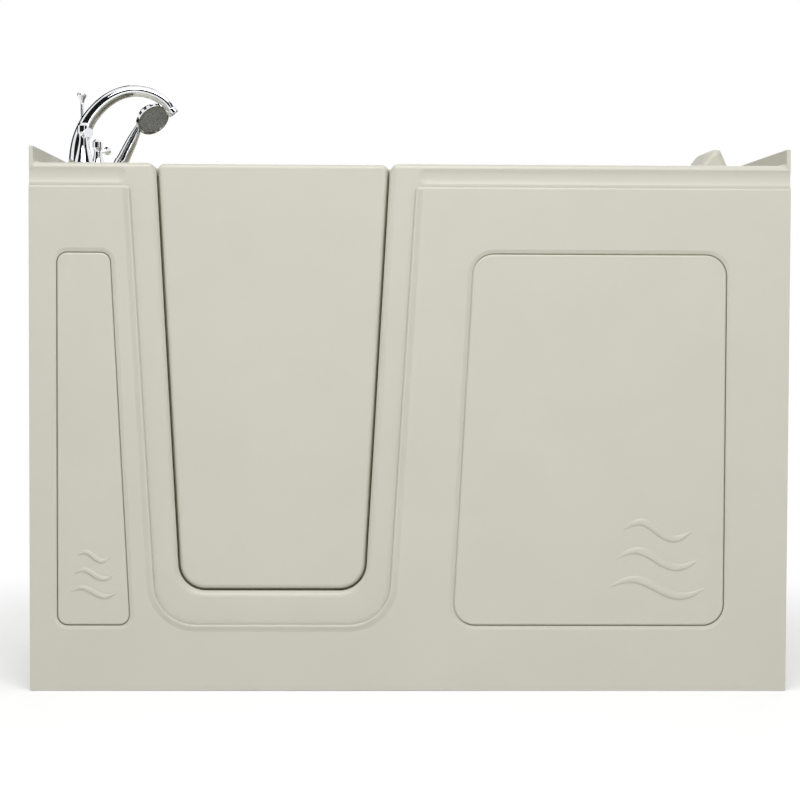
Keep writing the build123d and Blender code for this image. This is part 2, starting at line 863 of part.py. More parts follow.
def foot_x():
    """Places of the feet along the tub: near each end and in the middle."""
    return left_x + foot_inset, (left_x + right_x) / 2, right_x - foot_inset


def base_rail(y_centre):
    """Long tube under the tub, pierced by its foot studs."""
    y_range = tube_span(y_centre)
    x_range = (left_x + frame_end_inset, right_x - frame_end_inset)
    rail = square_tube(x_range, y_range, (base_rail_height, rail_top), 0)
    for x in foot_x():
        rail -= Pos(x, y_centre, base_rail_height) * Cylinder(foot_stud_radius, 4 * tube_wall)
    return rail


def cross_members():
    """Tubes across the base that carry the floor board and the seat legs."""
    y_range = (rail_front_y + tube / 2, rail_rear_y - tube / 2)
    ends = (frame_end_inset + tube / 2, length - frame_end_inset - tube / 2)
    z_range = (base_rail_height, rail_top)
    places = [left_x + x for x in (ends[0], *cross_member_at, ends[1])]
    return group(square_tube(tube_span(x), y_range, z_range, 1) for x in places + seat_leg_x())


def corner_posts():
    """Upright at each corner that carries the deck."""
    posts = []
    z_range = (rail_top, deck_height - shell_wall)
    for x in (left_x + frame_end_inset, right_x - frame_end_inset - tube):
        for y in (rail_front_y, rail_rear_y):
            posts.append(square_tube((x, x + tube), tube_span(y), z_range, 2))
    return group(posts)


def door_post_x():
    """Inner edges of the two posts beside the doorway."""
    reach = door_half_top + door_gap + jamb_draft + jamb_wall + door_post_gap
    return door_centre_x - reach - tube, door_centre_x + reach


def door_posts():
    """Uprights beside the doorway that stiffen the front wall."""
    z_range = (rail_top, deck_height - shell_wall)
    return group(square_tube((x, x + tube), tube_span(rail_front_y), z_range, 2) for x in door_post_x())


def top_rails():
    """Tubes under the deck along the front, each side of the doorway, and along the rear."""
    left_post, right_post = door_post_x()
    z_range = (deck_height - top_rail_drop, deck_height - top_rail_drop + tube)
    front, rear = tube_span(rail_front_y), tube_span(rail_rear_y)
    inner = (left_x + frame_end_inset + tube, right_x - frame_end_inset - tube)
    return group(
        [
            square_tube((inner[0], left_post), front, z_range, 0),
            square_tube((right_post + tube, inner[1]), front, z_range, 0),
            square_tube(inner, rear, z_range, 0),
        ]
    )


def end_rails():
    """Tubes under the deck at the two ends."""
    z_range = (deck_height - top_rail_drop, deck_height - top_rail_drop + tube)
    y_range = (rail_front_y + tube / 2, rail_rear_y - tube / 2)
    ends = (left_x + frame_end_inset, right_x - frame_end_inset - tube)
    return group(square_tube((x, x + tube), y_range, z_range, 1) for x in ends)


def floor_panel():
    """Board bonded under the footwell, resting on the cross members."""
    x_range = (basin_left + board_inset / 2, seat_front_x - riser_lean - board_inset / 2)
    y_range = (basin_front + board_inset, basin_rear - board_inset)
    top = floor_height - shell_wall
    board = block(x_range, y_range, (top - floor_board, top))
    hole = Pos(left_x + drain_x, waste_y, top) * Cylinder(shoe_radius + board_hole_gap, 4 * floor_board)
    return fillet(board.edges().filter_by(Axis.Z), board_inset) - hole


def seat_leg_x():
    """Places of the seat legs along the tub, behind the nose of the seat."""
    return [seat_front_x + behind for behind in seat_leg_behind_nose]


def seat_leg_y():
    """Depths of the seat legs, the same distance in from both rails."""
    return rail_front_y + seat_leg_inset, rail_rear_y - seat_leg_inset


def seat_bearer_height():
    """Underside of the seat bearers."""
    return seat_height - seat_fall - shell_wall - tube


def seat_legs():
    """Uprights under the seat."""
    return group(
        square_tube(tube_span(x), tube_span(y), (rail_top, seat_bearer_height()), 2)
        for x in seat_leg_x()
        for y in seat_leg_y()
    )


def seat_bearers():
    """Tubes across the seat legs, directly under the seat."""
    low, high = seat_leg_y()
    z_range = (seat_bearer_height(), seat_bearer_height() + tube)
    y_range = (low - tube, high + tube)
    return group(square_tube(tube_span(x), y_range, z_range, 1) for x in seat_leg_x())


def foot_places():
    """Centres of the levelling feet."""
    return [(x, y) for x in foot_x() for y in (rail_front_y, rail_rear_y)]


def foot_pads():
    """Moulded pads that stand on the floor."""
    profile = [
        (foot_pad_radius, 0),
        (foot_pad_radius, foot_pad_thick / 3),
        (foot_stud_radius + 5, foot_pad_thick),
    ]
    return group(turned(profile, (x, y, 0), smooth=False) for x, y in foot_places())


def foot_studs():
    """Threaded studs that set the height of the tub."""
    return group(
        bar(foot_stud_radius, (x, y, foot_pad_thick), (x, y, base_rail_height + foot_stud_in_rail))
        for x, y in foot_places()
    )


def foot_nuts():
    """Lock nuts that hold each stud against its rail."""
    nuts = []
    for x, y in foot_places():
        outline = RegularPolygon(foot_nut_across / math.sqrt(3), 6) - Circle(foot_stud_radius)
        z = base_rail_height - foot_nut_thick
        nuts.append(extrude(Plane(origin=(x, y, z)) * outline, foot_nut_thick))
    return group(nuts)


def apron_brackets():
    """Angle brackets that hold the apron to the base rail."""
    rear = rail_front_y - tube / 2
    low = base_rail_height + bracket_thick
    brackets = []
    for x in (left_x + bracket_inset, door_centre_x, right_x - bracket_inset):
        x_range = (x - bracket_width / 2, x + bracket_width / 2)
        foot = block(x_range, (rear - bracket_thick, rear), (low, rail_top - bracket_thick))
        arm = block(x_range, (apron_back_y, rear - bracket_thick), (low, low + bracket_thick))
        brackets.append(foot + arm)
    return group(brackets)


def drain_flange():
    """Drain ring in the footwell floor with the throat through the shell."""
    x = left_x + drain_x
    ring = [
        (drain_flange_radius, floor_height),
        (drain_flange_radius - 2, floor_height + drain_flange_thick),
        (drain_throat_radius, floor_height + drain_flange_thick - 1),
        (drain_throat_radius, floor_height - shoe_height / 2),
        (drain_throat_radius + drain_wall, floor_height - shoe_height / 2),
        (drain_throat_radius + drain_wall, floor_height),
    ]
    face = make_face(Polyline(*ring, close=True))
    return Pos(x, waste_y, 0) * revolve(Plane.XZ * face, Axis.Z)


def drain_stopper():
    """Lift-up stopper with its stem down the throat."""
    x = left_x + drain_x
    foot = floor_height + drain_flange_thick + stopper_lift_gap - 0.5
    crown = (stopper_radius - 6, foot + stopper_thick)
    profile = [(stopper_radius, foot), (stopper_radius, foot + 2), crown]
    stem = bar(4, (x, waste_y, floor_height - shoe_height / 3), (x, waste_y, foot + 1))
    return turned(profile, (x, waste_y, 0), smooth=False) + stem


def drain_shoe():
    """Cup under the floor that turns the waste sideways."""
    x = left_x + drain_x
    top = floor_height - shell_wall - 0.1
    foot = waste_height - waste_radius - 2 * socket_wall
    reach = x - shoe_radius - shoe_spigot
    cup = bar(shoe_radius, (x, waste_y, foot), (x, waste_y, top))
    spigot = bar(waste_radius + socket_wall, (reach, waste_y, waste_height), (x, waste_y, waste_height))
    throat = bar(drain_throat_radius + drain_wall, (x, waste_y, waste_height), (x, waste_y, top + 1))
    socket = bar(waste_radius, (reach - 1, waste_y, waste_height), (x - 8, waste_y, waste_height))
    return cup + spigot - throat - socket


def waste_pipe():
    """Horizontal pipe from the drain shoe to the tee."""
    x = left_x + drain_x
    start = (overflow_pipe_x + tee_reach - tee_socket, waste_y, waste_height)
    return pipe(start, (x - shoe_radius, waste_y, waste_height))


def pipe(start, end):
    """Waste pipe between two points."""
    run = Vector(*end) - Vector(*start)
    ring = Circle(waste_radius) - Circle(waste_radius - drain_wall)
    return extrude(Plane(origin=start, z_dir=run) * ring, run.length)


def tee_foot():
    """Lower end of the tee."""
    return waste_height - tee_foot_drop


def waste_tee():
    """Tee where the drain and the overflow meet."""
    x, z, stop = overflow_pipe_x, waste_height, tee_reach - tee_socket
    body = bar(tee_radius, (x, waste_y, tee_foot()), (x, waste_y, z + tee_reach))
    body += bar(tee_radius, (x, waste_y, z), (x + tee_reach, waste_y, z))
    body -= bar(spigot_radius, (x, waste_y, tee_foot() - 1), (x, waste_y, z + stop + 1))
    body -= bar(spigot_radius, (x, waste_y, z), (x + stop + 1, waste_y, z))
    body -= bar(waste_radius, (x, waste_y, z + stop), (x, waste_y, z + tee_reach + 1))
    return body - bar(waste_radius, (x + stop, waste_y, z), (x + tee_reach + 1, waste_y, z))


def tailpiece():
    """Outlet below the tee that the house drain fastens to."""
    x, head = overflow_pipe_x, tee_foot()
    spigot = bar(spigot_radius, (x, waste_y, head - 1), (x, waste_y, head + tailpiece_spigot))
    bore = bar(waste_radius - drain_wall, (x, waste_y, head - 2), (x, waste_y, head + tailpiece_spigot + 1))
    return pipe((x, waste_y, head - tailpiece_length), (x, waste_y, head)) + spigot - bore


def overflow_pipe():
    """Upright pipe from the overflow to the tee."""
    start = (overflow_pipe_x, waste_y, waste_height + tee_reach - tee_socket)
    return pipe(start, (overflow_pipe_x, waste_y, overflow_height - tee_radius - 6))


def overflow_elbow():
    """Elbow behind the end wall at the overflow."""
    x = overflow_pipe_x
    z = overflow_height
    wall_x = basin_left - shell_wall
    body = bar(tee_radius, (x, waste_y, z), (wall_x, waste_y, z))
    body += bar(tee_radius, (x, waste_y, z - tee_radius - 18), (x, waste_y, z))
    body += Pos(x, waste_y, z) * Sphere(tee_radius)
    body -= bar(waste_radius, (x, waste_y, z - tee_radius - 19), (x, waste_y, z))
    return body - bar(waste_radius - 3, (x, waste_y, z), (wall_x + 1, waste_y, z))


def overflow_plate():
    """Round plate over the overflow hole with a drain slot in its underside."""
    start = (basin_left, waste_y, overflow_height)
    face_x = basin_left + overflow_plate_thick
    plate = bar(overflow_plate_radius, start, (face_x, waste_y, overflow_height))
    rim = plate.faces().sort_by(Axis.X)[-1].edges()
    foot = overflow_height - overflow_plate_radius
    y_range = (waste_y - overflow_slot / 2, waste_y + overflow_slot / 2)
    slot = block((basin_left - 1, face_x - 2), y_range, (foot - 1, foot + 0.6 * overflow_slot))
    return fillet(rim, 2.5) - slot


def overflow_knob():
    """Turning knob on the overflow plate that works the stopper."""
    start = basin_left + overflow_plate_thick + seat_gap
    end = start + overflow_knob_thick
    knob = bar(overflow_knob_radius, (start, waste_y, overflow_height), (end, waste_y, overflow_height))
    rim = knob.faces().sort_by(Axis.X)[-1].edges()
    knob = fillet(rim, overflow_knob_thick / 3)
    for i in range(knob_flutes):
        turn = Pos(0, waste_y, overflow_height) * Rot(i * 360 / knob_flutes, 0, 0)
        knob -= turn * Pos(end, overflow_knob_radius + flute_radius / 2, 0) * Sphere(flute_radius)
    return knob


def spout_plane(path, t):
    """Cross plane of the spout at a fraction of its length."""
    return Plane(origin=path @ t, x_dir=(0, 1, 0), z_dir=path % t)


def spout_path():
    """Centre line of the gooseneck, from the deck to the aerator."""
    base = Vector(left_x + spout_x, spout_y, deck_height)
    points = [
        (0, spout_foot_thick),
        (8.5, 88),
        (50, 145.5),
        (118, spout_rise),
        (168, 161.5),
        (spout_reach, 134.5),
    ]
    places = [base + Vector(x, 0, z) for x, z in points]
    return Spline(*places, tangents=[(0, 0, 1), (0.67, 0, -0.746)])


def spout():
    """Gooseneck spout: wide at the deck, slim and round at the tip."""
    path = spout_path()
    steps = (
        (0, spout_base_radius - 4.5),
        (0.1, 1.4 * spout_neck_radius),
        (0.22, 1.15 * spout_neck_radius),
        (0.36, spout_neck_radius),
        (0.6, 0.85 * spout_neck_radius),
        (0.8, 0.76 * spout_neck_radius),
        (1, spout_tip_radius),
    )
    neck = loft([(spout_plane(path, t) * Circle(radius)).faces()[0] for t, radius in steps])
    foot = turned(
        [(spout_base_radius, 0), (spout_base_radius, 3), (spout_base_radius - 4, spout_foot_thick)],
        (left_x + spout_x, spout_y, deck_height),
        smooth=False,
    )
    return neck + foot


def spout_aerator():
    """Collar and outlet screen at the tip of the spout."""
    path = spout_path()
    plane = spout_plane(path, 1)
    collar = extrude(plane * Circle(aerator_radius), aerator_length)
    collar = fillet(collar.edges(), 1.5)
    return collar - extrude(plane.offset(aerator_length - 4) * Circle(aerator_radius - 4), 5)


def spout_shank():
    """Threaded shank below the deck with its nut."""
    x = left_x + spout_x
    under = deck_height - shell_wall
    shank = bar(shank_radius, (x, spout_y, under - 54), (x, spout_y, deck_height))
    nut = bar(shank_nut_radius, (x, spout_y, under - shank_nut_thick), (x, spout_y, under))
    return shank + nut


def diverter_rod():
    """Lift rod with a trumpet knob behind the spout."""
    place = (left_x + spout_x, spout_y + diverter_back, deck_height)
    profile = [
        (diverter_rod_radius, diverter_top - 46),
        (diverter_rod_radius + 0.6, diverter_top - 34),
        (diverter_rod_radius + 2.4, diverter_top - 16),
        (diverter_knob_radius, diverter_top - 1),
        (diverter_knob_radius - 1, diverter_top),
    ]
    x, y, z = place
    return turned(profile, place) + bar(diverter_rod_radius, (x, y, z - 60), (x, y, z + diverter_top - 45))


def diverter_guide():
    """Collar on the deck that guides the lift rod."""
    place = (left_x + spout_x, spout_y + diverter_back, deck_height)
    profile = [(9, 0), (9, 3), (6.5, 9), (6, 14)]
    x, y, z = place
    bore = bar(diverter_rod_radius + running_gap, (x, y, z - 1), (x, y, z + 15))
    return turned(profile, place, smooth=False) - bore


def tap_handle(x, y, angle):
    """Bell-shaped handle with a trumpet lever pointing along an angle."""
    place = (left_x + x, y, deck_height + escutcheon_thick + handle_lift)
    rise = handle_height - escutcheon_thick - handle_lift
    profile = [
        (handle_base_radius - 3, 0),
        (handle_base_radius - 7, 14),
        (handle_cap_radius + 1, 34),
        (handle_cap_radius - 1.5, 48),
        (handle_cap_radius, 62),
    ]
    body = turned(profile, place)
    brim = handle_cap_radius + 1.5
    cap = turned([(brim, 62), (brim, rise - 6), (handle_cap_radius - 4, rise)], place, smooth=False)
    direction = Vector(math.cos(math.radians(angle)), math.sin(math.radians(angle)), 0.12)
    start = Vector(*place) + Vector(0, 0, lever_height - escutcheon_thick)
    radii = ((0, 5), (0.45, 4), (0.75, 5.2), (1, 9.5))
    sections = [
        (Plane(origin=start + direction * (t * lever_reach), z_dir=direction) * Circle(radius)).faces()[0]
        for t, radius in radii
    ]
    return body + cap + loft(sections)


def tap_escutcheons():
    """Round plates under the two handles."""
    crown = (handle_base_radius - 2, escutcheon_thick)
    profile = [(escutcheon_radius, 0), (escutcheon_radius, 2.5), crown]
    places = ((hot_handle_x, hot_handle_y), (cold_handle_x, cold_handle_y))
    return group(turned(profile, (left_x + x, y, deck_height), smooth=False) for x, y in places)


def valve(x, y):
    """Valve body clamped under the deck, with its nut."""
    top = deck_height - shell_wall
    place_x = left_x + x
    body = bar(valve_radius, (place_x, y, top - valve_drop), (place_x, y, top - shank_nut_thick))
    nut = bar(valve_radius + 6, (place_x, y, top - shank_nut_thick), (place_x, y, top))
    neck = bar(valve_radius - 4.5, (place_x, y, top - 1), (place_x, y, deck_height))
    return body + nut + neck


def inlet_stub(x, y):
    """Copper stub under a valve that the house supply fastens to."""
    top = deck_height - shell_wall - valve_drop
    return bar(supply_radius, (left_x + x, y, top - inlet_length), (left_x + x, y, top))


def supply_height():
    """Height of the copper tubes between the valves and the mixing tee."""
    return deck_height - supply_drop


def supply_tubes():
    """Copper tubes from the valves to the mixing tee."""
    z = supply_height()
    tubes = []
    for x, y in ((hot_handle_x, hot_handle_y), (cold_handle_x, cold_handle_y)):
        start = Vector(left_x + x, y, z)
        end = Vector(left_x + spout_x, spout_y, z)
        run = (end - start).normalized()
        inner = start + run * valve_radius
        outer = end - run * (shank_nut_radius - 1)
        tubes.append(bar(supply_radius, (inner.X, inner.Y, z), (outer.X, outer.Y, z)))
    return group(tubes)


def mixing_tee():
    """Tee under the spout where hot and cold join."""
    x = left_x + spout_x
    z = supply_height()
    body = bar(shank_nut_radius - 1, (x, spout_y, z - 22), (x, spout_y, z + 14))
    arm_y = (spout_y, spout_y + diverter_back + 12)
    body += block((x - 10, x + 10), arm_y, (z - 22, z - supply_radius - 1))
    return body - bar(shank_radius, (x, spout_y, z + 6), (x, spout_y, z + 15))


def shower_axis():
    """Direction of the hand shower from the deck to its head."""
    lean = math.radians(shower_lean)
    return Vector(math.sin(lean), 0, math.cos(lean))


def along_shower(distance):
    """Point on the hand shower's own axis, measured from the deck."""
    base = Vector(left_x + shower_x, shower_y, deck_height)
    return base + shower_axis() * distance


def shower_plane(distance):
    """Cross plane of the hand shower handle."""
    return Plane(origin=along_shower(distance), x_dir=(0, 1, 0), z_dir=shower_axis())


def shower_holder():
    """Holder on the deck with a leaning cup for the hand shower."""
    rim, brow = (holder_base_radius, 3), (holder_cup_radius + 3, 9)
    profile = [(holder_base_radius, 0), rim, brow, (holder_cup_radius, 22)]
    base = turned(profile, (left_x + shower_x, shower_y, deck_height), smooth=False)
    cup = extrude(shower_plane(8) * Circle(holder_cup_radius), holder_height - 8)
    bore_plane = shower_plane(holder_height - shower_seat_depth - 1)
    bore = extrude(bore_plane * Circle(shower_tail_radius + shower_fit_gap), shower_seat_depth + 3)
    x, under = left_x + shower_x, deck_height - shell_wall
    stub = bar(shank_radius, (x, shower_y, under - holder_stub), (x, shower_y, deck_height + 1))
    nut = bar(shank_nut_radius, (x, shower_y, under - shank_nut_thick), (x, shower_y, under))
    return base + cup + stub + nut - bore


def head_plane():
    """Plane of the shower face: it looks forward, down and towards the bather."""
    face = Vector(0.5, -0.62, -0.605).normalized()
    return Plane(origin=along_shower(shower_head_along) + face * shower_head_offset, z_dir=face)


def shower_handle():
    """Hand shower handle that swells into the domed back of its head."""
    start = holder_height - shower_seat_depth
    foot = holder_height + shower_fit_gap
    neck = shower_head_along - 0.8 * shower_head_radius
    steps = (
        (foot, shower_grip_radius),
        (foot + 0.3 * (neck - foot), shower_grip_radius - 1.8),
        (foot + 0.7 * (neck - foot), shower_grip_radius - 4.6),
        (neck, shower_neck_radius),
        (shower_head_along - 0.3 * shower_head_radius, shower_neck_radius - 0.4),
    )
    lower = extrude(shower_plane(start) * Circle(shower_tail_radius), foot - start + 1)
    handle = loft([(shower_plane(d) * Circle(r)).faces()[0] for d, r in steps])
    plane = head_plane()
    dome = [
        (0, -shower_head_depth),
        (shower_head_radius * 0.55, -shower_head_depth * 0.86),
        (shower_head_radius * 0.9, -shower_head_depth * 0.5),
        (shower_head_radius, 0),
    ]
    edge = Spline(*dome, tangents=[(1, 0), (0, 1)])
    back = make_face([edge, Line(edge @ 1, (0, 0)), Line((0, 0), edge @ 0)])
    head = plane.location * revolve(Plane.XZ * back, Axis.Z)
    recess = extrude(plane.offset(-shower_face_thick) * Circle(shower_face_radius), shower_face_thick + 1)
    return lower + handle + head - recess


def shower_face():
    """Grey nozzle plate of the hand shower."""
    plane = head_plane()
    return extrude(plane.offset(-shower_face_thick) * Circle(shower_face_radius), shower_face_thick)


def shower_lug_ring():
    """Notched ring round the head that selects the spray."""
    plane = head_plane().offset(1 - lug_ring_thick)
    outline = Circle(lug_ring_radius) - Circle(shower_head_radius + shower_fit_gap)
    ring = extrude(plane * outline, lug_ring_thick)
    notch_width = math.pi * lug_ring_radius / lug_count
    for place in PolarLocations(lug_ring_radius, lug_count):
        notch = place * Rectangle(2 * lug_depth, notch_width)
        ring -= extrude(plane * notch, lug_ring_thick - lug_depth)
    return ring


def grab_bar():
    """Bent bar along the wall behind the bather's door side."""
    y_bar = basin_rear - grab_bar_standoff
    y_wall = basin_rear - grab_flange_thick / 2
    left, right = left_x + grab_bar_left, left_x + grab_bar_right
    corners = [(left, y_wall), (left, y_bar), (right, y_bar), (right, y_wall)]
    path = FilletPolyline(*[(x, y, grab_bar_height) for x, y in corners], radius=grab_bar_bend)
    start = Plane(origin=path @ 0, z_dir=path % 0)
    return sweep(start * Circle(grab_bar_radius), path=path)


def grab_flanges():
    """Round flanges that fix the grab bar to the wall."""
    flanges = []
    for x in (left_x + grab_bar_left, left_x + grab_bar_right):
        wall = (x, basin_rear, grab_bar_height)
        face = (x, basin_rear - grab_flange_thick, grab_bar_height)
        middle = (x, basin_rear - grab_flange_thick / 2, grab_bar_height)
        plate = bar(grab_flange_radius, face, wall)
        rim = plate.faces().sort_by(Axis.Y)[0].edges()
        bore = bar(grab_bar_radius, (x, face[1] - 1, grab_bar_height), middle)
        flanges.append(fillet(rim, grab_flange_thick / 2) - bore)
    return group(flanges)


os.makedirs("parts", exist_ok=True)

pieces = {
    "tub_shell": tub_shell,
    "front_apron": front_apron,
    "panel_sockets": panel_sockets,
    "door_seal": door_seal,
    "hinge_wall_leaf": hinge_wall_leaf,
    "hinge_pin": hinge_pin,
    "latch_keeper": latch_keeper,
    "cross_members": cross_members,
    "corner_posts": corner_posts,
    "door_posts": door_posts,
    "top_rails": top_rails,
    "end_rails": end_rails,
    "floor_board": floor_panel,
    "seat_legs": seat_legs,
    "seat_bearers": seat_bearers,
    "foot_pads": foot_pads,
    "foot_studs": foot_studs,
    "foot_nuts": foot_nuts,
    "apron_brackets": apron_brackets,
    "drain_flange": drain_flange,
    "drain_shoe": drain_shoe,
    "waste_pipe": waste_pipe,
    "waste_tee": waste_tee,
    "tailpiece": tailpiece,
    "overflow_pipe": overflow_pipe,
    "overflow_elbow": overflow_elbow,
    "overflow_plate": overflow_plate,
    "spout": spout,
    "spout_aerator": spout_aerator,
    "spout_shank": spout_shank,
    "diverter_guide": diverter_guide,
    "tap_escutcheons": tap_escutcheons,
    "supply_tubes": supply_tubes,
    "mixing_tee": mixing_tee,
    "shower_holder": shower_holder,
    "grab_bar": grab_bar,
    "grab_flanges": grab_flanges,
    "door_outer": door_outer,
    "door_inner": door_inner,
    "door_core": door_core,
    "hinge_door_leaf": hinge_door_leaf,
    "latch_lever": latch_lever,
    "diverter_rod": diverter_rod,
    "shower_handle": shower_handle,
    "shower_face": shower_face,
    "shower_lug_ring": shower_lug_ring,
    "overflow_knob": overflow_knob,
    "drain_stopper": drain_stopper,
}
for piece_name, make_piece in pieces.items():
    save(piece_name, make_piece())

save("base_rail_front", base_rail(rail_front_y))
save("base_rail_rear", base_rail(rail_rear_y))
save("hot_handle", tap_handle(hot_handle_x, hot_handle_y, -lever_angle))
save("cold_handle", tap_handle(cold_handle_x, cold_handle_y, lever_angle))
save("hot_valve", valve(hot_handle_x, hot_handle_y))
save("cold_valve", valve(cold_handle_x, cold_handle_y))
save("hot_inlet", inlet_stub(hot_handle_x, hot_handle_y))
save("cold_inlet", inlet_stub(cold_handle_x, cold_handle_y))
save("left_panel", access_panel(left_panel_outline))
save("left_panel_studs", panel_studs(left_panel_outline))
save("right_panel", access_panel(right_panel_outline))
save("right_panel_studs", panel_studs(right_panel_outline))
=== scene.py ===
"""Looks of a walk-in alcove bathtub: finishes, fine pieces, light and camera round its frame."""
import json
import logging
import math
from dataclasses import dataclass
from enum import Enum
from typing import Iterable, Protocol, Sequence

import bmesh
import bpy
from mathutils import Matrix, Vector


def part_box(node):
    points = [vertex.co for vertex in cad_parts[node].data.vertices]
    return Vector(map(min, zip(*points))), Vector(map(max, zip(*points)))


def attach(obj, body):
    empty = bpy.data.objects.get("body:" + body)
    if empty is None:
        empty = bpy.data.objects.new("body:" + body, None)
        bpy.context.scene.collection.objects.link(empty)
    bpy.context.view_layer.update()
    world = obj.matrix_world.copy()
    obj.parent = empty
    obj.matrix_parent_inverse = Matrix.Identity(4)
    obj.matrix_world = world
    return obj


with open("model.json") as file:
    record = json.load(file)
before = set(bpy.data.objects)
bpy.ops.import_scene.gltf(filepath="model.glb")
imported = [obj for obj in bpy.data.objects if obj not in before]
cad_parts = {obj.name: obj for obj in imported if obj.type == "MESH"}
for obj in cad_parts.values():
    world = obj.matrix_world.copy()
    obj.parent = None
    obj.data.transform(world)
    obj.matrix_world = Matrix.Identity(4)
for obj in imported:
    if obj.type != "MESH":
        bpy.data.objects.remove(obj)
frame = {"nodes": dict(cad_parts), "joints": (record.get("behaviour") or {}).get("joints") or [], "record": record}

log = logging.getLogger("bathtub")

Colour = tuple[float, float, float]
Point = tuple[float, float, float]

FORWARD: Point = (0.0, -1.0, 0.0)
REARWARD: Point = (0.0, 1.0, 0.0)
# Knuckles of the door hinge: lowest end and length of each, in metres
HINGE_FOOT = 0.250
KNUCKLE = 0.110
KNUCKLE_COUNT = 7
WELD_DISTANCE = 1e-6
# Outline of a screw head, as shares of its radius: the crown, then the recess
SCREW_CROWN = ((1.0, -0.1), (1.0, 0.18), (0.86, 0.42), (0.55, 0.56), (0.34, 0.58))
SCREW_RECESS = ((0.26, 0.22), (0.0, 0.2))


class Slot(Enum):
    """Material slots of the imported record."""

    GELCOAT = "biscuit_gelcoat"
    CHROME = "chrome"
    STAINLESS = "stainless"
    FRAME_STEEL = "frame_steel"
    ZINC = "zinc"
    PAD_RUBBER = "pad_rubber"
    SEAL_RUBBER_AND_GAP_SHADE = "seal_rubber"
    PLYWOOD = "plywood"
    NOZZLE_GREY = "nozzle_grey"
    BRASS = "brass"
    COPPER = "copper"
    WASTE_PLASTIC = "waste_plastic"


class Body(Enum):
    """Bodies that the added pieces ride on."""

    TUB = "tub"
    DOOR = "door"
    HAND_SHOWER = "hand_shower"
    SPRAY_RING = "spray_ring"
    LEFT_PANEL = "left_panel"
    RIGHT_PANEL = "right_panel"


# Shader groups


def new_group(
    name: str, inputs: Sequence[tuple[str, str, object]], outputs: Sequence[tuple[str, str]]
) -> tuple[bpy.types.NodeTree, bpy.types.Node, bpy.types.Node]:
    """Start a shader node group.

    Args:
        name: Name of the group.
        inputs: Name, socket type and default of each input.
        outputs: Name and socket type of each output.

    Returns:
        The group, its input node and its output node.
    """
    group = bpy.data.node_groups.new(name, "ShaderNodeTree")
    for label, kind, default in inputs:
        socket = group.interface.new_socket(name=label, in_out="INPUT", socket_type=kind)
        if default is not None:
            socket.default_value = default
    for label, kind in outputs:
        group.interface.new_socket(name=label, in_out="OUTPUT", socket_type=kind)
    return group, group.nodes.new("NodeGroupInput"), group.nodes.new("NodeGroupOutput")


def mottle_group() -> bpy.types.NodeTree:
    """Group that spreads soft patches of two colours over a surface.

    Returns:
        The group, with Colour and Mask outputs.
    """
    group, source, result = new_group(
        "mottle",
        [
            ("Vector", "NodeSocketVector", None),
            ("Scale", "NodeSocketFloat", 3.0),
            ("Light", "NodeSocketColor", None),
            ("Dark", "NodeSocketColor", None),
        ],
        [("Colour", "NodeSocketColor"), ("Mask", "NodeSocketFloat")],
    )
    noise = group.nodes.new("ShaderNodeTexNoise")
    noise.inputs["Detail"].default_value = 5.0
    noise.inputs["Roughness"].default_value = 0.6
    mix = group.nodes.new("ShaderNodeMix")
    mix.data_type = "RGBA"
    span = group.nodes.new("ShaderNodeMapRange")
    span.inputs["From Min"].default_value = 0.32
    span.inputs["From Max"].default_value = 0.68
    link = group.links.new
    link(source.outputs["Vector"], noise.inputs["Vector"])
    link(source.outputs["Scale"], noise.inputs["Scale"])
    link(noise.outputs["Fac"], span.inputs["Value"])
    link(span.outputs["Result"], mix.inputs["Factor"])
    link(source.outputs["Dark"], mix.inputs["A"])
    link(source.outputs["Light"], mix.inputs["B"])
    link(mix.outputs["Result"], result.inputs["Colour"])
    link(span.outputs["Result"], result.inputs["Mask"])
    return group


def grain_group() -> bpy.types.NodeTree:
    """Group that gives the height of a fine grain, stretched along one axis.

    Returns:
        The group, with a Height output and a Roughness output around a middle value.
    """
    group, source, result = new_group(
        "grain",
        [
            ("Vector", "NodeSocketVector", None),
            ("Stretch", "NodeSocketVector", (1.0, 1.0, 1.0)),
            ("Scale", "NodeSocketFloat", 400.0),
            ("Rough Low", "NodeSocketFloat", 0.2),
            ("Rough High", "NodeSocketFloat", 0.4),
        ],
        [("Height", "NodeSocketFloat"), ("Roughness", "NodeSocketFloat")],
    )
    stretch = group.nodes.new("ShaderNodeVectorMath")
    stretch.operation = "MULTIPLY"
    noise = group.nodes.new("ShaderNodeTexNoise")
    noise.inputs["Detail"].default_value = 3.0
    span = group.nodes.new("ShaderNodeMapRange")
    span.inputs["From Min"].default_value = 0.3
    span.inputs["From Max"].default_value = 0.7
    link = group.links.new
    link(source.outputs["Vector"], stretch.inputs[0])
    link(source.outputs["Stretch"], stretch.inputs[1])
    link(stretch.outputs["Vector"], noise.inputs["Vector"])
    link(source.outputs["Scale"], noise.inputs["Scale"])
    link(noise.outputs["Fac"], span.inputs["Value"])
    link(source.outputs["Rough Low"], span.inputs["To Min"])
    link(source.outputs["Rough High"], span.inputs["To Max"])
    link(noise.outputs["Fac"], result.inputs["Height"])
    link(span.outputs["Result"], result.inputs["Roughness"])
    return group


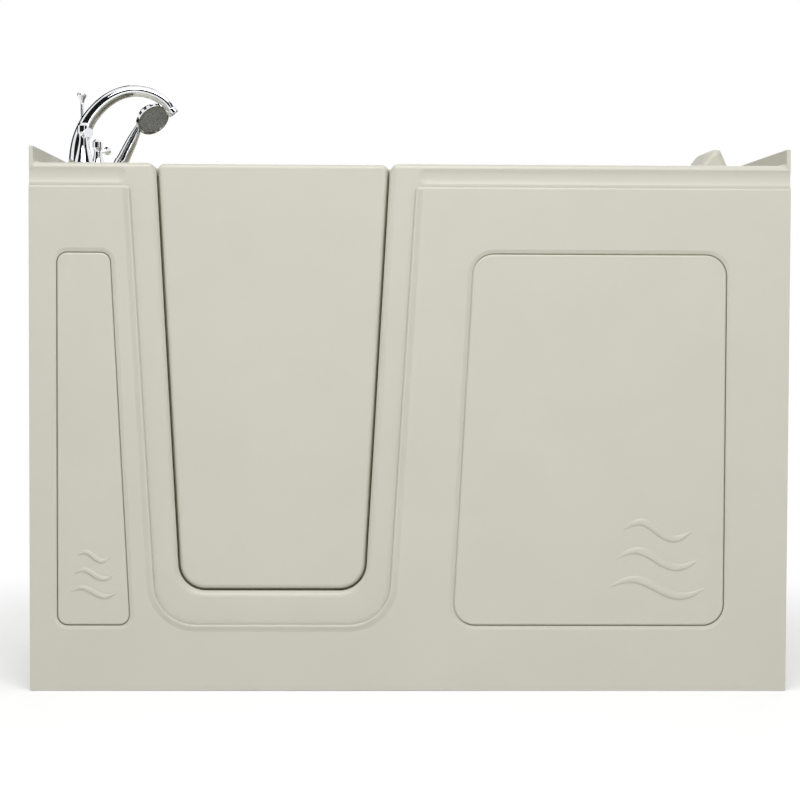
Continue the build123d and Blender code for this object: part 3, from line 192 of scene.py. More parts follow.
@dataclass(frozen=True)
class Finish:
    """One finish: colours, gloss and grain of a surface.

    Attributes:
        light: Base colour of the paler patches.
        dark: Base colour of the darker patches.
        patch_scale: How many patches there are to a metre.
        rough: Lowest and highest roughness.
        grain_scale: How fine the grain is.
        grain_stretch: How the grain is drawn out on each axis.
        bump: Strength of the grain's relief.
        bump_depth: Depth of the relief in metres.
        metallic: Whether the surface is bare metal.
        coat: Weight of a clear coat.
        coat_rough: Roughness of the clear coat.
        spangle: Cells to a metre of crystal pattern, or nothing.
        rings: Scale of the glued plies seen on a board's edge, or nothing.
        ring_waver: How far the plies waver.
        figure_weight: How strongly cells or plies show.
    """

    light: Colour
    dark: Colour
    patch_scale: float = 3.0
    rough: tuple[float, float] = (0.3, 0.4)
    grain_scale: float = 400.0
    grain_stretch: Point = (1.0, 1.0, 1.0)
    bump: float = 0.1
    bump_depth: float = 0.0002
    metallic: bool = False
    coat: float = 0.0
    coat_rough: float = 0.1
    spangle: float = 0.0
    rings: float = 0.0
    ring_waver: float = 0.5
    figure_weight: float = 0.55

    def make(self, name: str, mottle: bpy.types.NodeTree, grain: bpy.types.NodeTree) -> bpy.types.Material:
        """Build the material.

        Args:
            name: Name of the material.
            mottle: Group for patches of colour.
            grain: Group for the fine grain.

        Returns:
            The material.
        """
        material = bpy.data.materials.new(name)
        material.use_nodes = True
        tree = material.node_tree
        shader = tree.nodes["Principled BSDF"]
        place = tree.nodes.new("ShaderNodeTexCoord").outputs["Object"]
        patches = self._group(tree, mottle)
        patches.inputs["Scale"].default_value = self.patch_scale
        patches.inputs["Light"].default_value = (*self.light, 1.0)
        patches.inputs["Dark"].default_value = (*self.dark, 1.0)
        fine = self._group(tree, grain)
        fine.inputs["Scale"].default_value = self.grain_scale
        fine.inputs["Stretch"].default_value = self.grain_stretch
        fine.inputs["Rough Low"].default_value = self.rough[0]
        fine.inputs["Rough High"].default_value = self.rough[1]
        tree.links.new(place, patches.inputs["Vector"])
        tree.links.new(place, fine.inputs["Vector"])
        colour = self._figure(tree, place, patches.outputs["Colour"])
        bump = tree.nodes.new("ShaderNodeBump")
        bump.inputs["Strength"].default_value = self.bump
        bump.inputs["Distance"].default_value = self.bump_depth
        tree.links.new(colour, shader.inputs["Base Color"])
        tree.links.new(fine.outputs["Roughness"], shader.inputs["Roughness"])
        tree.links.new(fine.outputs["Height"], bump.inputs["Height"])
        tree.links.new(bump.outputs["Normal"], shader.inputs["Normal"])
        shader.inputs["Metallic"].default_value = 1.0 if self.metallic else 0.0
        shader.inputs["Coat Weight"].default_value = self.coat
        shader.inputs["Coat Roughness"].default_value = self.coat_rough
        return material

    @staticmethod
    def _group(tree: bpy.types.NodeTree, group: bpy.types.NodeTree) -> bpy.types.Node:
        """Place a shared group in a material."""
        node = tree.nodes.new("ShaderNodeGroup")
        node.node_tree = group
        return node

    def _figure(
        self, tree: bpy.types.NodeTree, place: bpy.types.NodeSocket, colour: bpy.types.NodeSocket
    ) -> bpy.types.NodeSocket:
        """Lay crystal cells or plies over the colour.

        Args:
            tree: Node tree of the material.
            place: Socket with the place on the piece.
            colour: Socket with the colour so far.

        Returns:
            The socket with the finished colour.
        """
        if not self.spangle and not self.rings:
            return colour
        if self.spangle:
            figure = tree.nodes.new("ShaderNodeTexVoronoi")
            figure.inputs["Scale"].default_value = self.spangle
            grey = tree.nodes.new("ShaderNodeRGBToBW")
            tree.links.new(figure.outputs["Color"], grey.inputs["Color"])
            mask = grey.outputs["Val"]
        else:
            figure = tree.nodes.new("ShaderNodeTexWave")
            figure.bands_direction = "Z"
            figure.inputs["Scale"].default_value = self.rings
            figure.inputs["Distortion"].default_value = self.ring_waver
            figure.inputs["Detail"].default_value = 3.0
            figure.inputs["Detail Scale"].default_value = 0.6
            mask = figure.outputs["Color"]
        tree.links.new(place, figure.inputs["Vector"])
        strength = tree.nodes.new("ShaderNodeMix")
        strength.data_type = "RGBA"
        strength.blend_type = "SOFT_LIGHT"
        strength.inputs["Factor"].default_value = self.figure_weight
        tree.links.new(colour, strength.inputs["A"])
        tree.links.new(mask, strength.inputs["B"])
        return strength.outputs["Result"]


FINISHES: dict[Slot, Finish] = {
    Slot.GELCOAT: Finish(
        light=(0.636, 0.622, 0.536),
        dark=(0.616, 0.603, 0.518),
        patch_scale=5.0,
        rough=(0.36, 0.48),
        grain_scale=260.0,
        bump=0.12,
        bump_depth=0.0003,
        coat=0.12,
        coat_rough=0.28,
    ),
    Slot.CHROME: Finish(
        light=(0.88, 0.89, 0.91),
        dark=(0.80, 0.81, 0.84),
        patch_scale=30.0,
        rough=(0.03, 0.07),
        grain_scale=90.0,
        bump=0.02,
        metallic=True,
    ),
    Slot.STAINLESS: Finish(
        light=(0.66, 0.66, 0.65),
        dark=(0.54, 0.54, 0.54),
        patch_scale=20.0,
        rough=(0.22, 0.38),
        grain_scale=900.0,
        grain_stretch=(1.0, 1.0, 0.04),
        bump=0.12,
        bump_depth=0.0001,
        metallic=True,
    ),
    Slot.FRAME_STEEL: Finish(
        light=(0.52, 0.53, 0.54),
        dark=(0.40, 0.41, 0.42),
        patch_scale=14.0,
        rough=(0.38, 0.55),
        grain_scale=300.0,
        bump=0.15,
        metallic=True,
        spangle=130.0,
    ),
    Slot.ZINC: Finish(
        light=(0.70, 0.70, 0.66),
        dark=(0.56, 0.56, 0.53),
        patch_scale=60.0,
        rough=(0.25, 0.4),
        grain_scale=500.0,
        metallic=True,
    ),
    Slot.PAD_RUBBER: Finish(
        light=(0.040, 0.040, 0.042),
        dark=(0.022, 0.022, 0.024),
        patch_scale=60.0,
        rough=(0.6, 0.8),
        grain_scale=900.0,
        bump=0.3,
    ),
    # Olive rubber of the door seal; the same olive, set to the tone of the shaded gaps, colours the door and panel
    # gap strips as painted shade
    Slot.SEAL_RUBBER_AND_GAP_SHADE: Finish(
        light=(0.270, 0.255, 0.165),
        dark=(0.200, 0.188, 0.118),
        patch_scale=40.0,
        rough=(0.5, 0.7),
        grain_scale=700.0,
        bump=0.2,
    ),
    Slot.PLYWOOD: Finish(
        light=(0.56, 0.40, 0.23),
        dark=(0.42, 0.28, 0.14),
        patch_scale=6.0,
        rough=(0.55, 0.75),
        grain_scale=220.0,
        grain_stretch=(0.08, 1.0, 1.0),
        bump=0.35,
        rings=73.0,
    ),
    Slot.NOZZLE_GREY: Finish(
        light=(0.36, 0.37, 0.37),
        dark=(0.29, 0.30, 0.30),
        patch_scale=60.0,
        rough=(0.32, 0.45),
        grain_scale=1200.0,
        bump=0.15,
    ),
    Slot.BRASS: Finish(
        light=(0.66, 0.48, 0.20),
        dark=(0.45, 0.31, 0.12),
        patch_scale=45.0,
        rough=(0.25, 0.42),
        grain_scale=500.0,
        metallic=True,
    ),
    Slot.COPPER: Finish(
        light=(0.74, 0.36, 0.21),
        dark=(0.46, 0.20, 0.11),
        patch_scale=24.0,
        rough=(0.25, 0.4),
        grain_scale=500.0,
        metallic=True,
    ),
    Slot.WASTE_PLASTIC: Finish(
        light=(0.78, 0.78, 0.75),
        dark=(0.70, 0.70, 0.67),
        patch_scale=18.0,
        rough=(0.35, 0.5),
        grain_scale=600.0,
        bump=0.15,
    ),
}


class Paintbox:
    """Makes each finish once and hands it out."""

    def __init__(self) -> None:
        """Build the shared groups."""
        self._mottle = mottle_group()
        self._grain = grain_group()
        self._made: dict[Slot, bpy.types.Material] = {}

    def material(self, slot: Slot) -> bpy.types.Material:
        """Give the material of a slot.

        Args:
            slot: Material slot of the record.

        Returns:
            The material, built on first use.
        """
        if slot not in self._made:
            self._made[slot] = FINISHES[slot].make(slot.value, self._mottle, self._grain)
        return self._made[slot]

    def paint_frame(self) -> int:
        """Give every CAD node the finish of its slot.

        Returns:
            How many nodes were painted.
        """
        for row in frame["record"]["subparts"]:
            materials = frame["nodes"][row["node"]].data.materials
            materials.clear()
            materials.append(self.material(Slot(row["material_slot"])))
        return len(frame["record"]["subparts"])


# Mesh helpers


def turn_to(direction: Vector) -> Matrix:
    """Rotation that points local Z along a direction."""
    return direction.to_track_quat("Z", "Y").to_matrix().to_4x4()


def sweep(stations: Sequence[Matrix], sides: int = 16, closed: bool = False) -> bmesh.types.BMesh:
    """Draw a ring along a row of places and close both ends.

    Args:
        stations: Places of the rings, from end to end.
        sides: Corners of each ring.
        closed: Whether the last ring joins the first one.

    Returns:
        The closed mesh.
    """
    mesh = bmesh.new()
    first = bmesh.ops.create_circle(mesh, cap_ends=False, radius=1.0, segments=sides)
    bmesh.ops.transform(mesh, matrix=stations[0], verts=first["verts"])
    ring = list(mesh.edges)
    start = list(ring)
    for here, there in zip(stations, stations[1:]):
        grown = bmesh.ops.extrude_edge_only(mesh, edges=ring)["geom"]
        verts = [item for item in grown if isinstance(item, bmesh.types.BMVert)]
        bmesh.ops.transform(mesh, matrix=there @ here.inverted(), verts=verts)
        fresh = set(verts)
        ring = [edge for edge in mesh.edges if edge.verts[0] in fresh and edge.verts[1] in fresh]
    if closed:
        bmesh.ops.bridge_loops(mesh, edges=start + ring)
    else:
        bmesh.ops.holes_fill(mesh, edges=[edge for edge in mesh.edges if edge.is_boundary], sides=sides)
    return mesh


def rounded_corner(
    before: Vector, corner: Vector, after: Vector, radius: float, steps: int = 12
) -> list[Vector]:
    """Points of the arc that rounds one corner of a line.

    Args:
        before: Point that the line comes from.
        corner: The sharp corner.
        after: Point that the line goes to.
        radius: Radius of the arc.
        steps: Steps along the arc.

    Returns:
        Points from one end of the arc to the other.
    """
    back, ahead = (before - corner).normalized(), (after - corner).normalized()
    half = back.angle(ahead) / 2
    middle = corner + (back + ahead).normalized() * (radius / math.sin(half))
    reach = radius / math.tan(half)
    first, last = corner + back * reach - middle, corner + ahead * reach - middle
    return [middle + radius * first.slerp(last, step / steps) for step in range(steps + 1)]


def strip_places(line: Sequence[Vector], wide: float, deep: float, closed: bool) -> list[Matrix]:
    """Places of a thin strip's rings along a line in the front plane.

    Args:
        line: Points along the strip.
        wide: Half width, across the line.
        deep: Half depth, front to back.
        closed: Whether the line meets its own start.

    Returns:
        One place for each point.
    """
    places = []
    count = len(line)
    for index, spot in enumerate(line):
        before = line[index - 1] if index or closed else spot
        after = line[(index + 1) % count] if index + 1 < count or closed else spot
        direction = (after - before).normalized()
        side = direction.cross(Vector((0.0, 1.0, 0.0)))
        place = Matrix((side * wide, Vector((0, 1, 0)) * deep, direction)).transposed().to_4x4()
        place.translation = spot
        places.append(place)
    return places


def lathe(profile: Sequence[tuple[float, float]], steps: int = 48) -> bmesh.types.BMesh:
    """Spin a profile of radius and height about local Z.

    Args:
        profile: Radius and height of each point, in metres.
        steps: Steps round the axis.

    Returns:
        The turned mesh.
    """
    mesh = bmesh.new()
    verts = [mesh.verts.new((radius, 0.0, height)) for radius, height in profile]
    edges = [mesh.edges.new(pair) for pair in zip(verts, verts[1:])]
    bmesh.ops.spin(
        mesh,
        geom=verts + edges,
        cent=(0.0, 0.0, 0.0),
        axis=(0.0, 0.0, 1.0),
        angle=2 * math.pi,
        steps=steps,
        use_merge=True,
    )
    bmesh.ops.remove_doubles(mesh, verts=mesh.verts, dist=WELD_DISTANCE)
    return mesh


def merged(parts: Iterable[bmesh.types.BMesh]) -> bmesh.types.BMesh:
    """Put several meshes into one.

    Args:
        parts: Meshes, which are used up.

    Returns:
        The joined mesh.
    """
    whole = bmesh.new()
    for part in parts:
        loose = bpy.data.meshes.new("loose")
        part.to_mesh(loose)
        part.free()
        whole.from_mesh(loose)
        bpy.data.meshes.remove(loose)
    return whole


class Workshop:
    """Turns meshes into finished pieces of the bathtub."""

    def __init__(self, paintbox: Paintbox) -> None:
        """Keep the paintbox.

        Args:
            paintbox: Finishes to dress pieces in.
        """
        self.paintbox = paintbox

    def piece(
        self, name: str, mesh: bmesh.types.BMesh, body: Body, slot: Slot, crease: float = 35.0
    ) -> bpy.types.Object:
        """Make an object of a mesh, dress it and set it on its body.

        Args:
            name: Name of the piece.
            mesh: Its mesh, in place, which is used up.
            body: Body that it rides on.
            slot: Material slot of its finish.
            crease: Angle in degrees past which an edge stays sharp.

        Returns:
            The finished piece.
        """
        bmesh.ops.remove_doubles(mesh, verts=mesh.verts, dist=WELD_DISTANCE)
        bmesh.ops.recalc_face_normals(mesh, faces=mesh.faces)
        data = bpy.data.meshes.new(name)
        mesh.to_mesh(data)
        mesh.free()
        data.polygons.foreach_set("use_smooth", [True] * len(data.polygons))
        data.set_sharp_from_angle(angle=math.radians(crease))
        made = bpy.data.objects.new(name, data)
        bpy.context.scene.collection.objects.link(made)
        data.materials.append(self.paintbox.material(slot))
        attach(made, body.value)
        log.info("%s: %d faces on %s", name, len(data.polygons), body.value)
        return made


class Piece(Protocol):
    """A fine piece that the workshop can be asked for."""

    def build(self, shop: Workshop) -> None:
        """Make the piece.

        Args:
            shop: Workshop that finishes the piece.
        """


# Fine pieces


@dataclass
class PanelRipples:
    """Raised ripples moulded in the lower corner of an access panel.

    Attributes:
        name: Name of the piece.
        body: Panel that carries them.
        middle: Middle of the group across and up, in metres.
        width: Length of the longest ripple.
        pitch: Height from one ripple to the next.
        swell: How far a ripple waves up and down.
        ridge: Half width of a ripple at its thickest.
        face_y: Face of the panel, front to back.
        relief: How far a ripple stands out.
        count: How many ripples there are.
        steps: Steps along a ripple.
        shrink: Share by which each ripple is shorter than the one below.
        tip: Least share of the full thickness, at the ends.
    """

    name: str
    body: Body
    middle: tuple[float, float]
    width: float
    pitch: float
    swell: float
    ridge: float
    face_y: float = -0.377
    relief: float = 0.0036
    count: int = 3
    steps: int = 28
    shrink: float = 0.14
    tip: float = 0.06

    def build(self, shop: Workshop) -> None:
        """Make the ripples.

        Args:
            shop: Workshop that finishes the piece.
        """
        ripples = [self._ripple(row) for row in range(self.count)]
        shop.piece(self.name, merged(ripples), self.body, Slot.GELCOAT, crease=60.0)

    def _ripple(self, row: int) -> bmesh.types.BMesh:
        """Sweep one ripple, thick in the middle and fine at both ends.

        Args:
            row: Which ripple, counted from the lowest.

        Returns:
            The ripple's mesh.
        """
        width = self.width * (1.0 - self.shrink * row)
        places = []
        for step in range(self.steps + 1):
            share = step / self.steps
            across = self.middle[0] + (share - 0.5) * width
            up = self.middle[1] + (row - (self.count - 1) / 2) * self.pitch
            up += self.swell * math.sin(2 * math.pi * share)
            slope = self.swell * 2 * math.pi * math.cos(2 * math.pi * share) / width
            girth = max(self.tip, math.sin(math.pi * share) ** 0.7)
            direction = Vector((1.0, 0.0, slope)).normalized()
            side = direction.cross(Vector((0.0, 1.0, 0.0)))
            basis = Matrix((side * self.ridge * girth, Vector((0, 1, 0)) * self.relief * girth, direction))
            place = basis.transposed().to_4x4()
            place.translation = Vector((across, self.face_y, up))
            places.append(place)
        return sweep(places, sides=12)


@dataclass
class HandShowerNozzles:
    """Rings of soft nozzles on the face of the hand shower.

    Attributes:
        rings: Radius and number of nozzles of each ring.
        nozzle_radius: Radius of a nozzle at its foot.
        nozzle_rise: How far a nozzle stands out.
        taper: Radius of a nozzle's tip as a share of its foot.
    """

    rings: tuple[tuple[float, int], ...] = ((0.0085, 8), (0.0165, 14), (0.0245, 20))
    nozzle_radius: float = 0.0012
    nozzle_rise: float = 0.0010
    taper: float = 0.6

    def build(self, shop: Workshop) -> None:
        """Make the nozzles.

        Args:
            shop: Workshop that finishes the piece.
        """
        home = spray_home()
        nozzles = []
        for radius, count in self.rings:
            for index in range(count):
                angle = 2 * math.pi * index / count
                cone = bmesh.new()
                bmesh.ops.create_cone(
                    cone,
                    cap_ends=True,
                    segments=10,
                    radius1=self.nozzle_radius,
                    radius2=self.taper * self.nozzle_radius,
                    depth=self.nozzle_rise,
                )
                spot = Vector((radius * math.cos(angle), radius * math.sin(angle), self.nozzle_rise / 2))
                bmesh.ops.transform(cone, matrix=home @ Matrix.Translation(spot), verts=cone.verts)
                nozzles.append(cone)
        shop.piece("shower_nozzles", merged(nozzles), Body.HAND_SHOWER, Slot.NOZZLE_GREY)


def spray_home() -> Matrix:
    """Place of the shower head: its face is at Z 0 and looks along Z."""
    turning = next(row for row in frame["joints"] if row["name"] == "spray_turn")
    return Matrix.Translation(Vector(turning["pos_m"])) @ turn_to(Vector(turning["axis"]).normalized())


def bevelled_block(size: Point, bevel: float) -> bmesh.types.BMesh:
    """Block with softened edges, about the origin.

    Args:
        size: Length on each axis.
        bevel: Width of the softened edges.

    Returns:
        The block's mesh.
    """
    mesh = bmesh.new()
    bmesh.ops.create_cube(mesh, size=1.0)
    bmesh.ops.scale(mesh, vec=size, verts=mesh.verts)
    bmesh.ops.bevel(
        mesh, geom=mesh.edges, offset=bevel, affect="EDGES", segments=2, profile=0.5, material=-1
    )
    return mesh


@dataclass
class RingGrips:
    """Black grips seated in the notches of the spray ring.

    Attributes:
        count: How many notches there are.
        first: Angle of the first notch, in degrees.
        inner: Radius at a grip's back.
        outer: Radius at its face.
        width: Width of a grip round the ring.
        foot: Height where a grip starts, behind the shower's face.
        head: Height where it ends.
        bevel: Width of its softened edges.
    """

    count: int = 16
    first: float = 3.5
    inner: float = 0.0346
    outer: float = 0.0369
    width: float = 0.0062
    foot: float = -0.0088
    head: float = -0.0022
    bevel: float = 0.0005

    def build(self, shop: Workshop) -> None:
        """Make one grip for each notch.

        Args:
            shop: Workshop that finishes the piece.
        """
        home = spray_home()
        grips = []
        for index in range(self.count):
            size = (self.outer - self.inner, self.width, self.head - self.foot)
            grip = bevelled_block(size, self.bevel)
            out = Matrix.Translation(((self.inner + self.outer) / 2, 0.0, (self.foot + self.head) / 2))
            turn = Matrix.Rotation(math.radians(self.first + 360.0 * index / self.count), 4, "Z")
            bmesh.ops.transform(grip, matrix=home @ turn @ out, verts=grip.verts)
            grips.append(grip)
        shop.piece("ring_grips", merged(grips), Body.SPRAY_RING, Slot.PAD_RUBBER)


@dataclass
class DoorGapShadeStrip:
    """Soft olive strip round the edge of the door that closes the view through the gap; it is painted shade,
    giving the gap line the olive tone of its shadow.

    Attributes:
        centre: Middle of the door across, in metres.
        half_top: Half width of the strip's line at the deck.
        half_foot: Half width at the foot.
        deck: Height where the half width is half_top.
        top: Height where the strip ends.
        foot: Height of its lowest run.
        corner: Radius of the two lower corners.
        depth: Middle of the strip, front to back.
        half_wide: Half width of the strip.
        half_deep: Half depth of the strip.
    """

    centre: float = -0.276
    half_top: float = 0.23185
    half_foot: float = 0.18415
    deck: float = 1.060
    top: float = 1.034
    foot: float = 0.20375
    corner: float = 0.0527
    depth: float = -0.3515
    half_wide: float = 0.00115
    half_deep: float = 0.0030

    def build(self, shop: Workshop) -> None:
        """Sweep the strip round the door.

        Args:
            shop: Workshop that finishes the piece.
        """
        lean = (self.half_top - self.half_foot) / (self.deck - self.foot)
        half_end = self.half_foot + lean * (self.top - self.foot)
        corners = [(-half_end, self.top), (-self.half_foot, self.foot)]
        corners += [(-x, z) for x, z in reversed(corners)]
        ends = [Vector((self.centre + x, self.depth, z)) for x, z in corners]
        line = [ends[0]]
        line += rounded_corner(ends[0], ends[1], ends[2], self.corner)
        line += rounded_corner(ends[1], ends[2], ends[3], self.corner)
        line.append(ends[3])
        places = strip_places(line, self.half_wide, self.half_deep, closed=False)
        shop.piece("door_gap_shade_strip", sweep(places, sides=12), Body.DOOR, Slot.SEAL_RUBBER_AND_GAP_SHADE, crease=60.0)


@dataclass
class WindowGapShadeStrip:
    """Thin dark strip at the bottom of the gap round an access panel, painted shade that darkens the gap line.

    Attributes:
        name: Name of the piece.
        panel: Node of the panel that it goes round.
        slope: How far the sloped side's head stands from its foot, across.
        slope_on_left: Whether the sloped side is the left one.
        corner: Radius of the panel's corners.
        gap: How far the strip's line stands off the panel.
        half_wide: Half width of the strip.
        half_deep: Half depth of the strip.
        depth: Middle of the strip, front to back.
    """

    name: str
    panel: str
    slope: float
    slope_on_left: bool
    corner: float
    gap: float = 0.0010
    half_wide: float = 0.0009
    half_deep: float = 0.0013
    depth: float = -0.3734

    def build(self, shop: Workshop) -> None:
        """Sweep the strip round the panel.

        Args:
            shop: Workshop that finishes the piece.
        """
        low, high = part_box(self.panel)
        left, right = low.x - self.gap, high.x + self.gap
        foot, head = low.z - self.gap, high.z + self.gap
        left_head = left + (self.slope if self.slope_on_left else 0.0)
        right_head = right - (0.0 if self.slope_on_left else self.slope)
        flat = [(left, foot), (right, foot), (right_head, head), (left_head, head)]
        ends = [Vector((x, self.depth, z)) for x, z in flat]
        line = []
        for index, corner in enumerate(ends):
            after = ends[(index + 1) % len(ends)]
            line += rounded_corner(ends[index - 1], corner, after, self.corner + self.gap, steps=10)
        places = strip_places(line, self.half_wide, self.half_deep, closed=True)
        gap_shade = sweep(places, sides=8, closed=True)
        shop.piece(self.name, gap_shade, Body.TUB, Slot.SEAL_RUBBER_AND_GAP_SHADE, crease=60.0)


@dataclass
class GripDots:
    """Low round pads moulded in the footwell floor against slipping.

    Attributes:
        first: Place of the first pad.
        pitch: Distance from pad to pad.
        columns: Rows of pads along the tub.
        rows: Pads in each of them.
        radius: Radius of a pad.
        rise: Height of a pad.
        sink: How far its skirt reaches into the floor.
        flange: Thickness of the drain flange, whose top stands above the floor.
        drain: Place of the drain.
        drain_gap: Least distance from a pad to the drain.
    """

    first: tuple[float, float] = (-0.36, -0.23)
    pitch: float = 0.052
    columns: int = 9
    rows: int = 9
    radius: float = 0.010
    rise: float = 0.0010
    sink: float = 0.0002
    flange: float = 0.003
    drain: tuple[float, float] = (-0.470, 0.020)
    drain_gap: float = 0.06

    def build(self, shop: Workshop) -> None:
        """Turn one low pad for each place clear of the drain.

        Args:
            shop: Workshop that finishes the piece.
        """
        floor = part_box("drain_flange")[1].z - self.flange
        profile = [
            (self.radius, -self.sink),
            (self.radius - 0.0010, 0.7 * self.rise),
            (self.radius - 0.0025, self.rise),
            (0.0, self.rise),
        ]
        pads = []
        for column in range(self.columns):
            for row in range(self.rows):
                x = self.first[0] + self.pitch * column
                y = self.first[1] + self.pitch * (row + 0.5 * (column % 2))
                if math.dist((x, y), self.drain) < self.drain_gap:
                    continue
                pad = lathe(profile, steps=20)
                bmesh.ops.translate(pad, verts=pad.verts, vec=(x, y, floor))
                pads.append(pad)
        shop.piece("footwell_grip_dots", merged(pads), Body.TUB, Slot.GELCOAT)


@dataclass
class Screws:
    """Pan-head screws with a round recess in the crown, set in rows.

    Attributes:
        name: Name of the piece.
        body: Body that they fasten to.
        slot: Finish of the screws.
        spots: Place of each head.
        normal: Way that the heads look.
        radius: Radius of a head.
    """

    name: str
    body: Body
    slot: Slot
    spots: Sequence[Point]
    normal: Point
    radius: float = 0.0042

    def build(self, shop: Workshop) -> None:
        """Make the screws.

        Args:
            shop: Workshop that finishes the piece.
        """
        turn = turn_to(Vector(self.normal).normalized())
        heads = []
        for spot in self.spots:
            head = self._head()
            bmesh.ops.transform(head, matrix=Matrix.Translation(Vector(spot)) @ turn, verts=head.verts)
            heads.append(head)
        shop.piece(self.name, merged(heads), self.body, self.slot)

    def _head(self) -> bmesh.types.BMesh:
        """Turn one domed head with a recess in its crown.

        Returns:
            The head's mesh, at the origin.
        """
        outline = SCREW_CROWN + SCREW_RECESS
        return lathe([(across * self.radius, up * self.radius) for across, up in outline], steps=20)


@dataclass
class FootThreads:
    """Thread of the levelling studs.

    Attributes:
        radius: Radius of a stud.
        pitch: Distance from crest to crest.
        foot: Height where the thread starts.
        head: Height where it ends.
        depth: Depth of the roots.
        crest: How far the crests stand out.
        across: Places of the studs along the tub.
    """

    radius: float = 0.006
    pitch: float = 0.00175
    foot: float = 0.014
    head: float = 0.092
    depth: float = 0.0006
    crest: float = 0.00015
    across: Point = (-0.690, 0.0, 0.690)

    def build(self, shop: Workshop) -> None:
        """Turn a threaded sleeve on each stud.

        Args:
            shop: Workshop that finishes the piece.
        """
        low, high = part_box("foot_studs")
        front, rear = low.y + self.radius, high.y - self.radius
        places = [(x, y) for x in self.across for y in (front, rear)]
        sleeves = []
        for x, y in places:
            sleeve = self._sleeve()
            bmesh.ops.translate(sleeve, verts=sleeve.verts, vec=(x, y, 0.0))
            sleeves.append(sleeve)
        shop.piece("foot_threads", merged(sleeves), Body.TUB, Slot.ZINC, crease=80.0)

    def _sleeve(self) -> bmesh.types.BMesh:
        """Turn the crests and roots of one stud."""
        profile = [(self.radius - self.depth, self.foot)]
        count = int((self.head - self.foot) / self.pitch)
        for turn in range(count):
            height = self.foot + turn * self.pitch
            profile.append((self.radius + self.crest, height + self.pitch / 2))
            profile.append((self.radius - self.depth, height + self.pitch))
        return lathe(profile, steps=20)


# Light and camera


@dataclass(frozen=True)
class SoftBox:
    """One soft lamp.

    Attributes:
        name: Name of the lamp.
        place: Where it stands, in metres.
        target: What it looks at.
        size: Width and height of its face.
        power: Watts.
    """

    name: str
    place: Point
    target: Point
    size: tuple[float, float]
    power: float

    def build(self) -> None:
        """Hang the lamp."""
        data = bpy.data.lights.new(self.name, "AREA")
        data.shape = "RECTANGLE"
        data.size, data.size_y = self.size
        data.energy = self.power
        lamp = bpy.data.objects.new(self.name, data)
        lamp.location = self.place
        look = Vector(self.target) - Vector(self.place)
        lamp.rotation_euler = look.to_track_quat("-Z", "Y").to_euler()
        bpy.context.scene.collection.objects.link(lamp)


@dataclass(frozen=True)
class ViewPoint:
    """Camera that stands where the photograph was taken.

    Attributes:
        place: Where it stands, in metres.
        yaw: Turn to the right, in radians.
        pitch: Tilt down, in radians.
        roll: Lean, in radians.
        lens: Focal length on a 36 mm sensor.
    """

    place: Point = (-0.12397, -4.89780, 0.78289)
    yaw: float = 0.022849
    pitch: float = 0.043170
    roll: float = 0.004048
    lens: float = 101.558

    def build(self) -> None:
        """Set up the scene's camera."""
        ahead = Vector(
            (
                math.sin(self.yaw) * math.cos(self.pitch),
                math.cos(self.yaw) * math.cos(self.pitch),
                -math.sin(self.pitch),
            )
        )
        right = Vector((math.cos(self.yaw), -math.sin(self.yaw), 0.0))
        up = right.cross(ahead)
        right_rolled = math.cos(self.roll) * right + math.sin(self.roll) * up
        up_rolled = -math.sin(self.roll) * right + math.cos(self.roll) * up
        data = bpy.data.cameras.new("camera")
        data.lens = self.lens
        data.sensor_width = 36.0
        data.clip_end = 200.0
        camera = bpy.data.objects.new("camera", data)
        place = Matrix((right_rolled, up_rolled, -ahead)).transposed().to_4x4()
        place.translation = Vector(self.place)
        camera.matrix_world = place
        bpy.context.scene.collection.objects.link(camera)
        bpy.context.scene.camera = camera


@dataclass(frozen=True)
class DarkCard:
    """Curved dark card round the taps that shows only in polished metal.

    Attributes:
        name: Name of the card.
        start: Angle where it begins, in degrees from +X.
        reach: Angle that it covers.
        low: Height of its lower edge, in metres.
        high: Height of its upper edge.
        radius: How far it stands from the taps.
        centre: Place of the taps.
    """

    name: str
    start: float
    reach: float
    low: float
    high: float
    radius: float = 5.0
    centre: tuple[float, float] = (-0.66, 0.0)

    def build(self, material: bpy.types.Material) -> None:
        """Stand the card up.

        Args:
            material: Dark finish of the card.
        """
        mesh = bmesh.new()
        turn = Matrix.Rotation(math.radians(self.start), 4, "Z")
        verts = [mesh.verts.new(turn @ Vector((self.radius, 0.0, z))) for z in (self.low, self.high)]
        edge = mesh.edges.new(verts)
        angle = math.radians(self.reach)
        bmesh.ops.spin(mesh, geom=[*verts, edge], axis=(0.0, 0.0, 1.0), angle=angle, steps=24)
        bmesh.ops.translate(mesh, verts=mesh.verts, vec=(*self.centre, 0.0))
        data = bpy.data.meshes.new(self.name)
        mesh.to_mesh(data)
        mesh.free()
        data.materials.append(material)
        card = bpy.data.objects.new(self.name, data)
        bpy.context.scene.collection.objects.link(card)
        card.visible_camera = False
        card.visible_diffuse = False
        card.visible_shadow = False


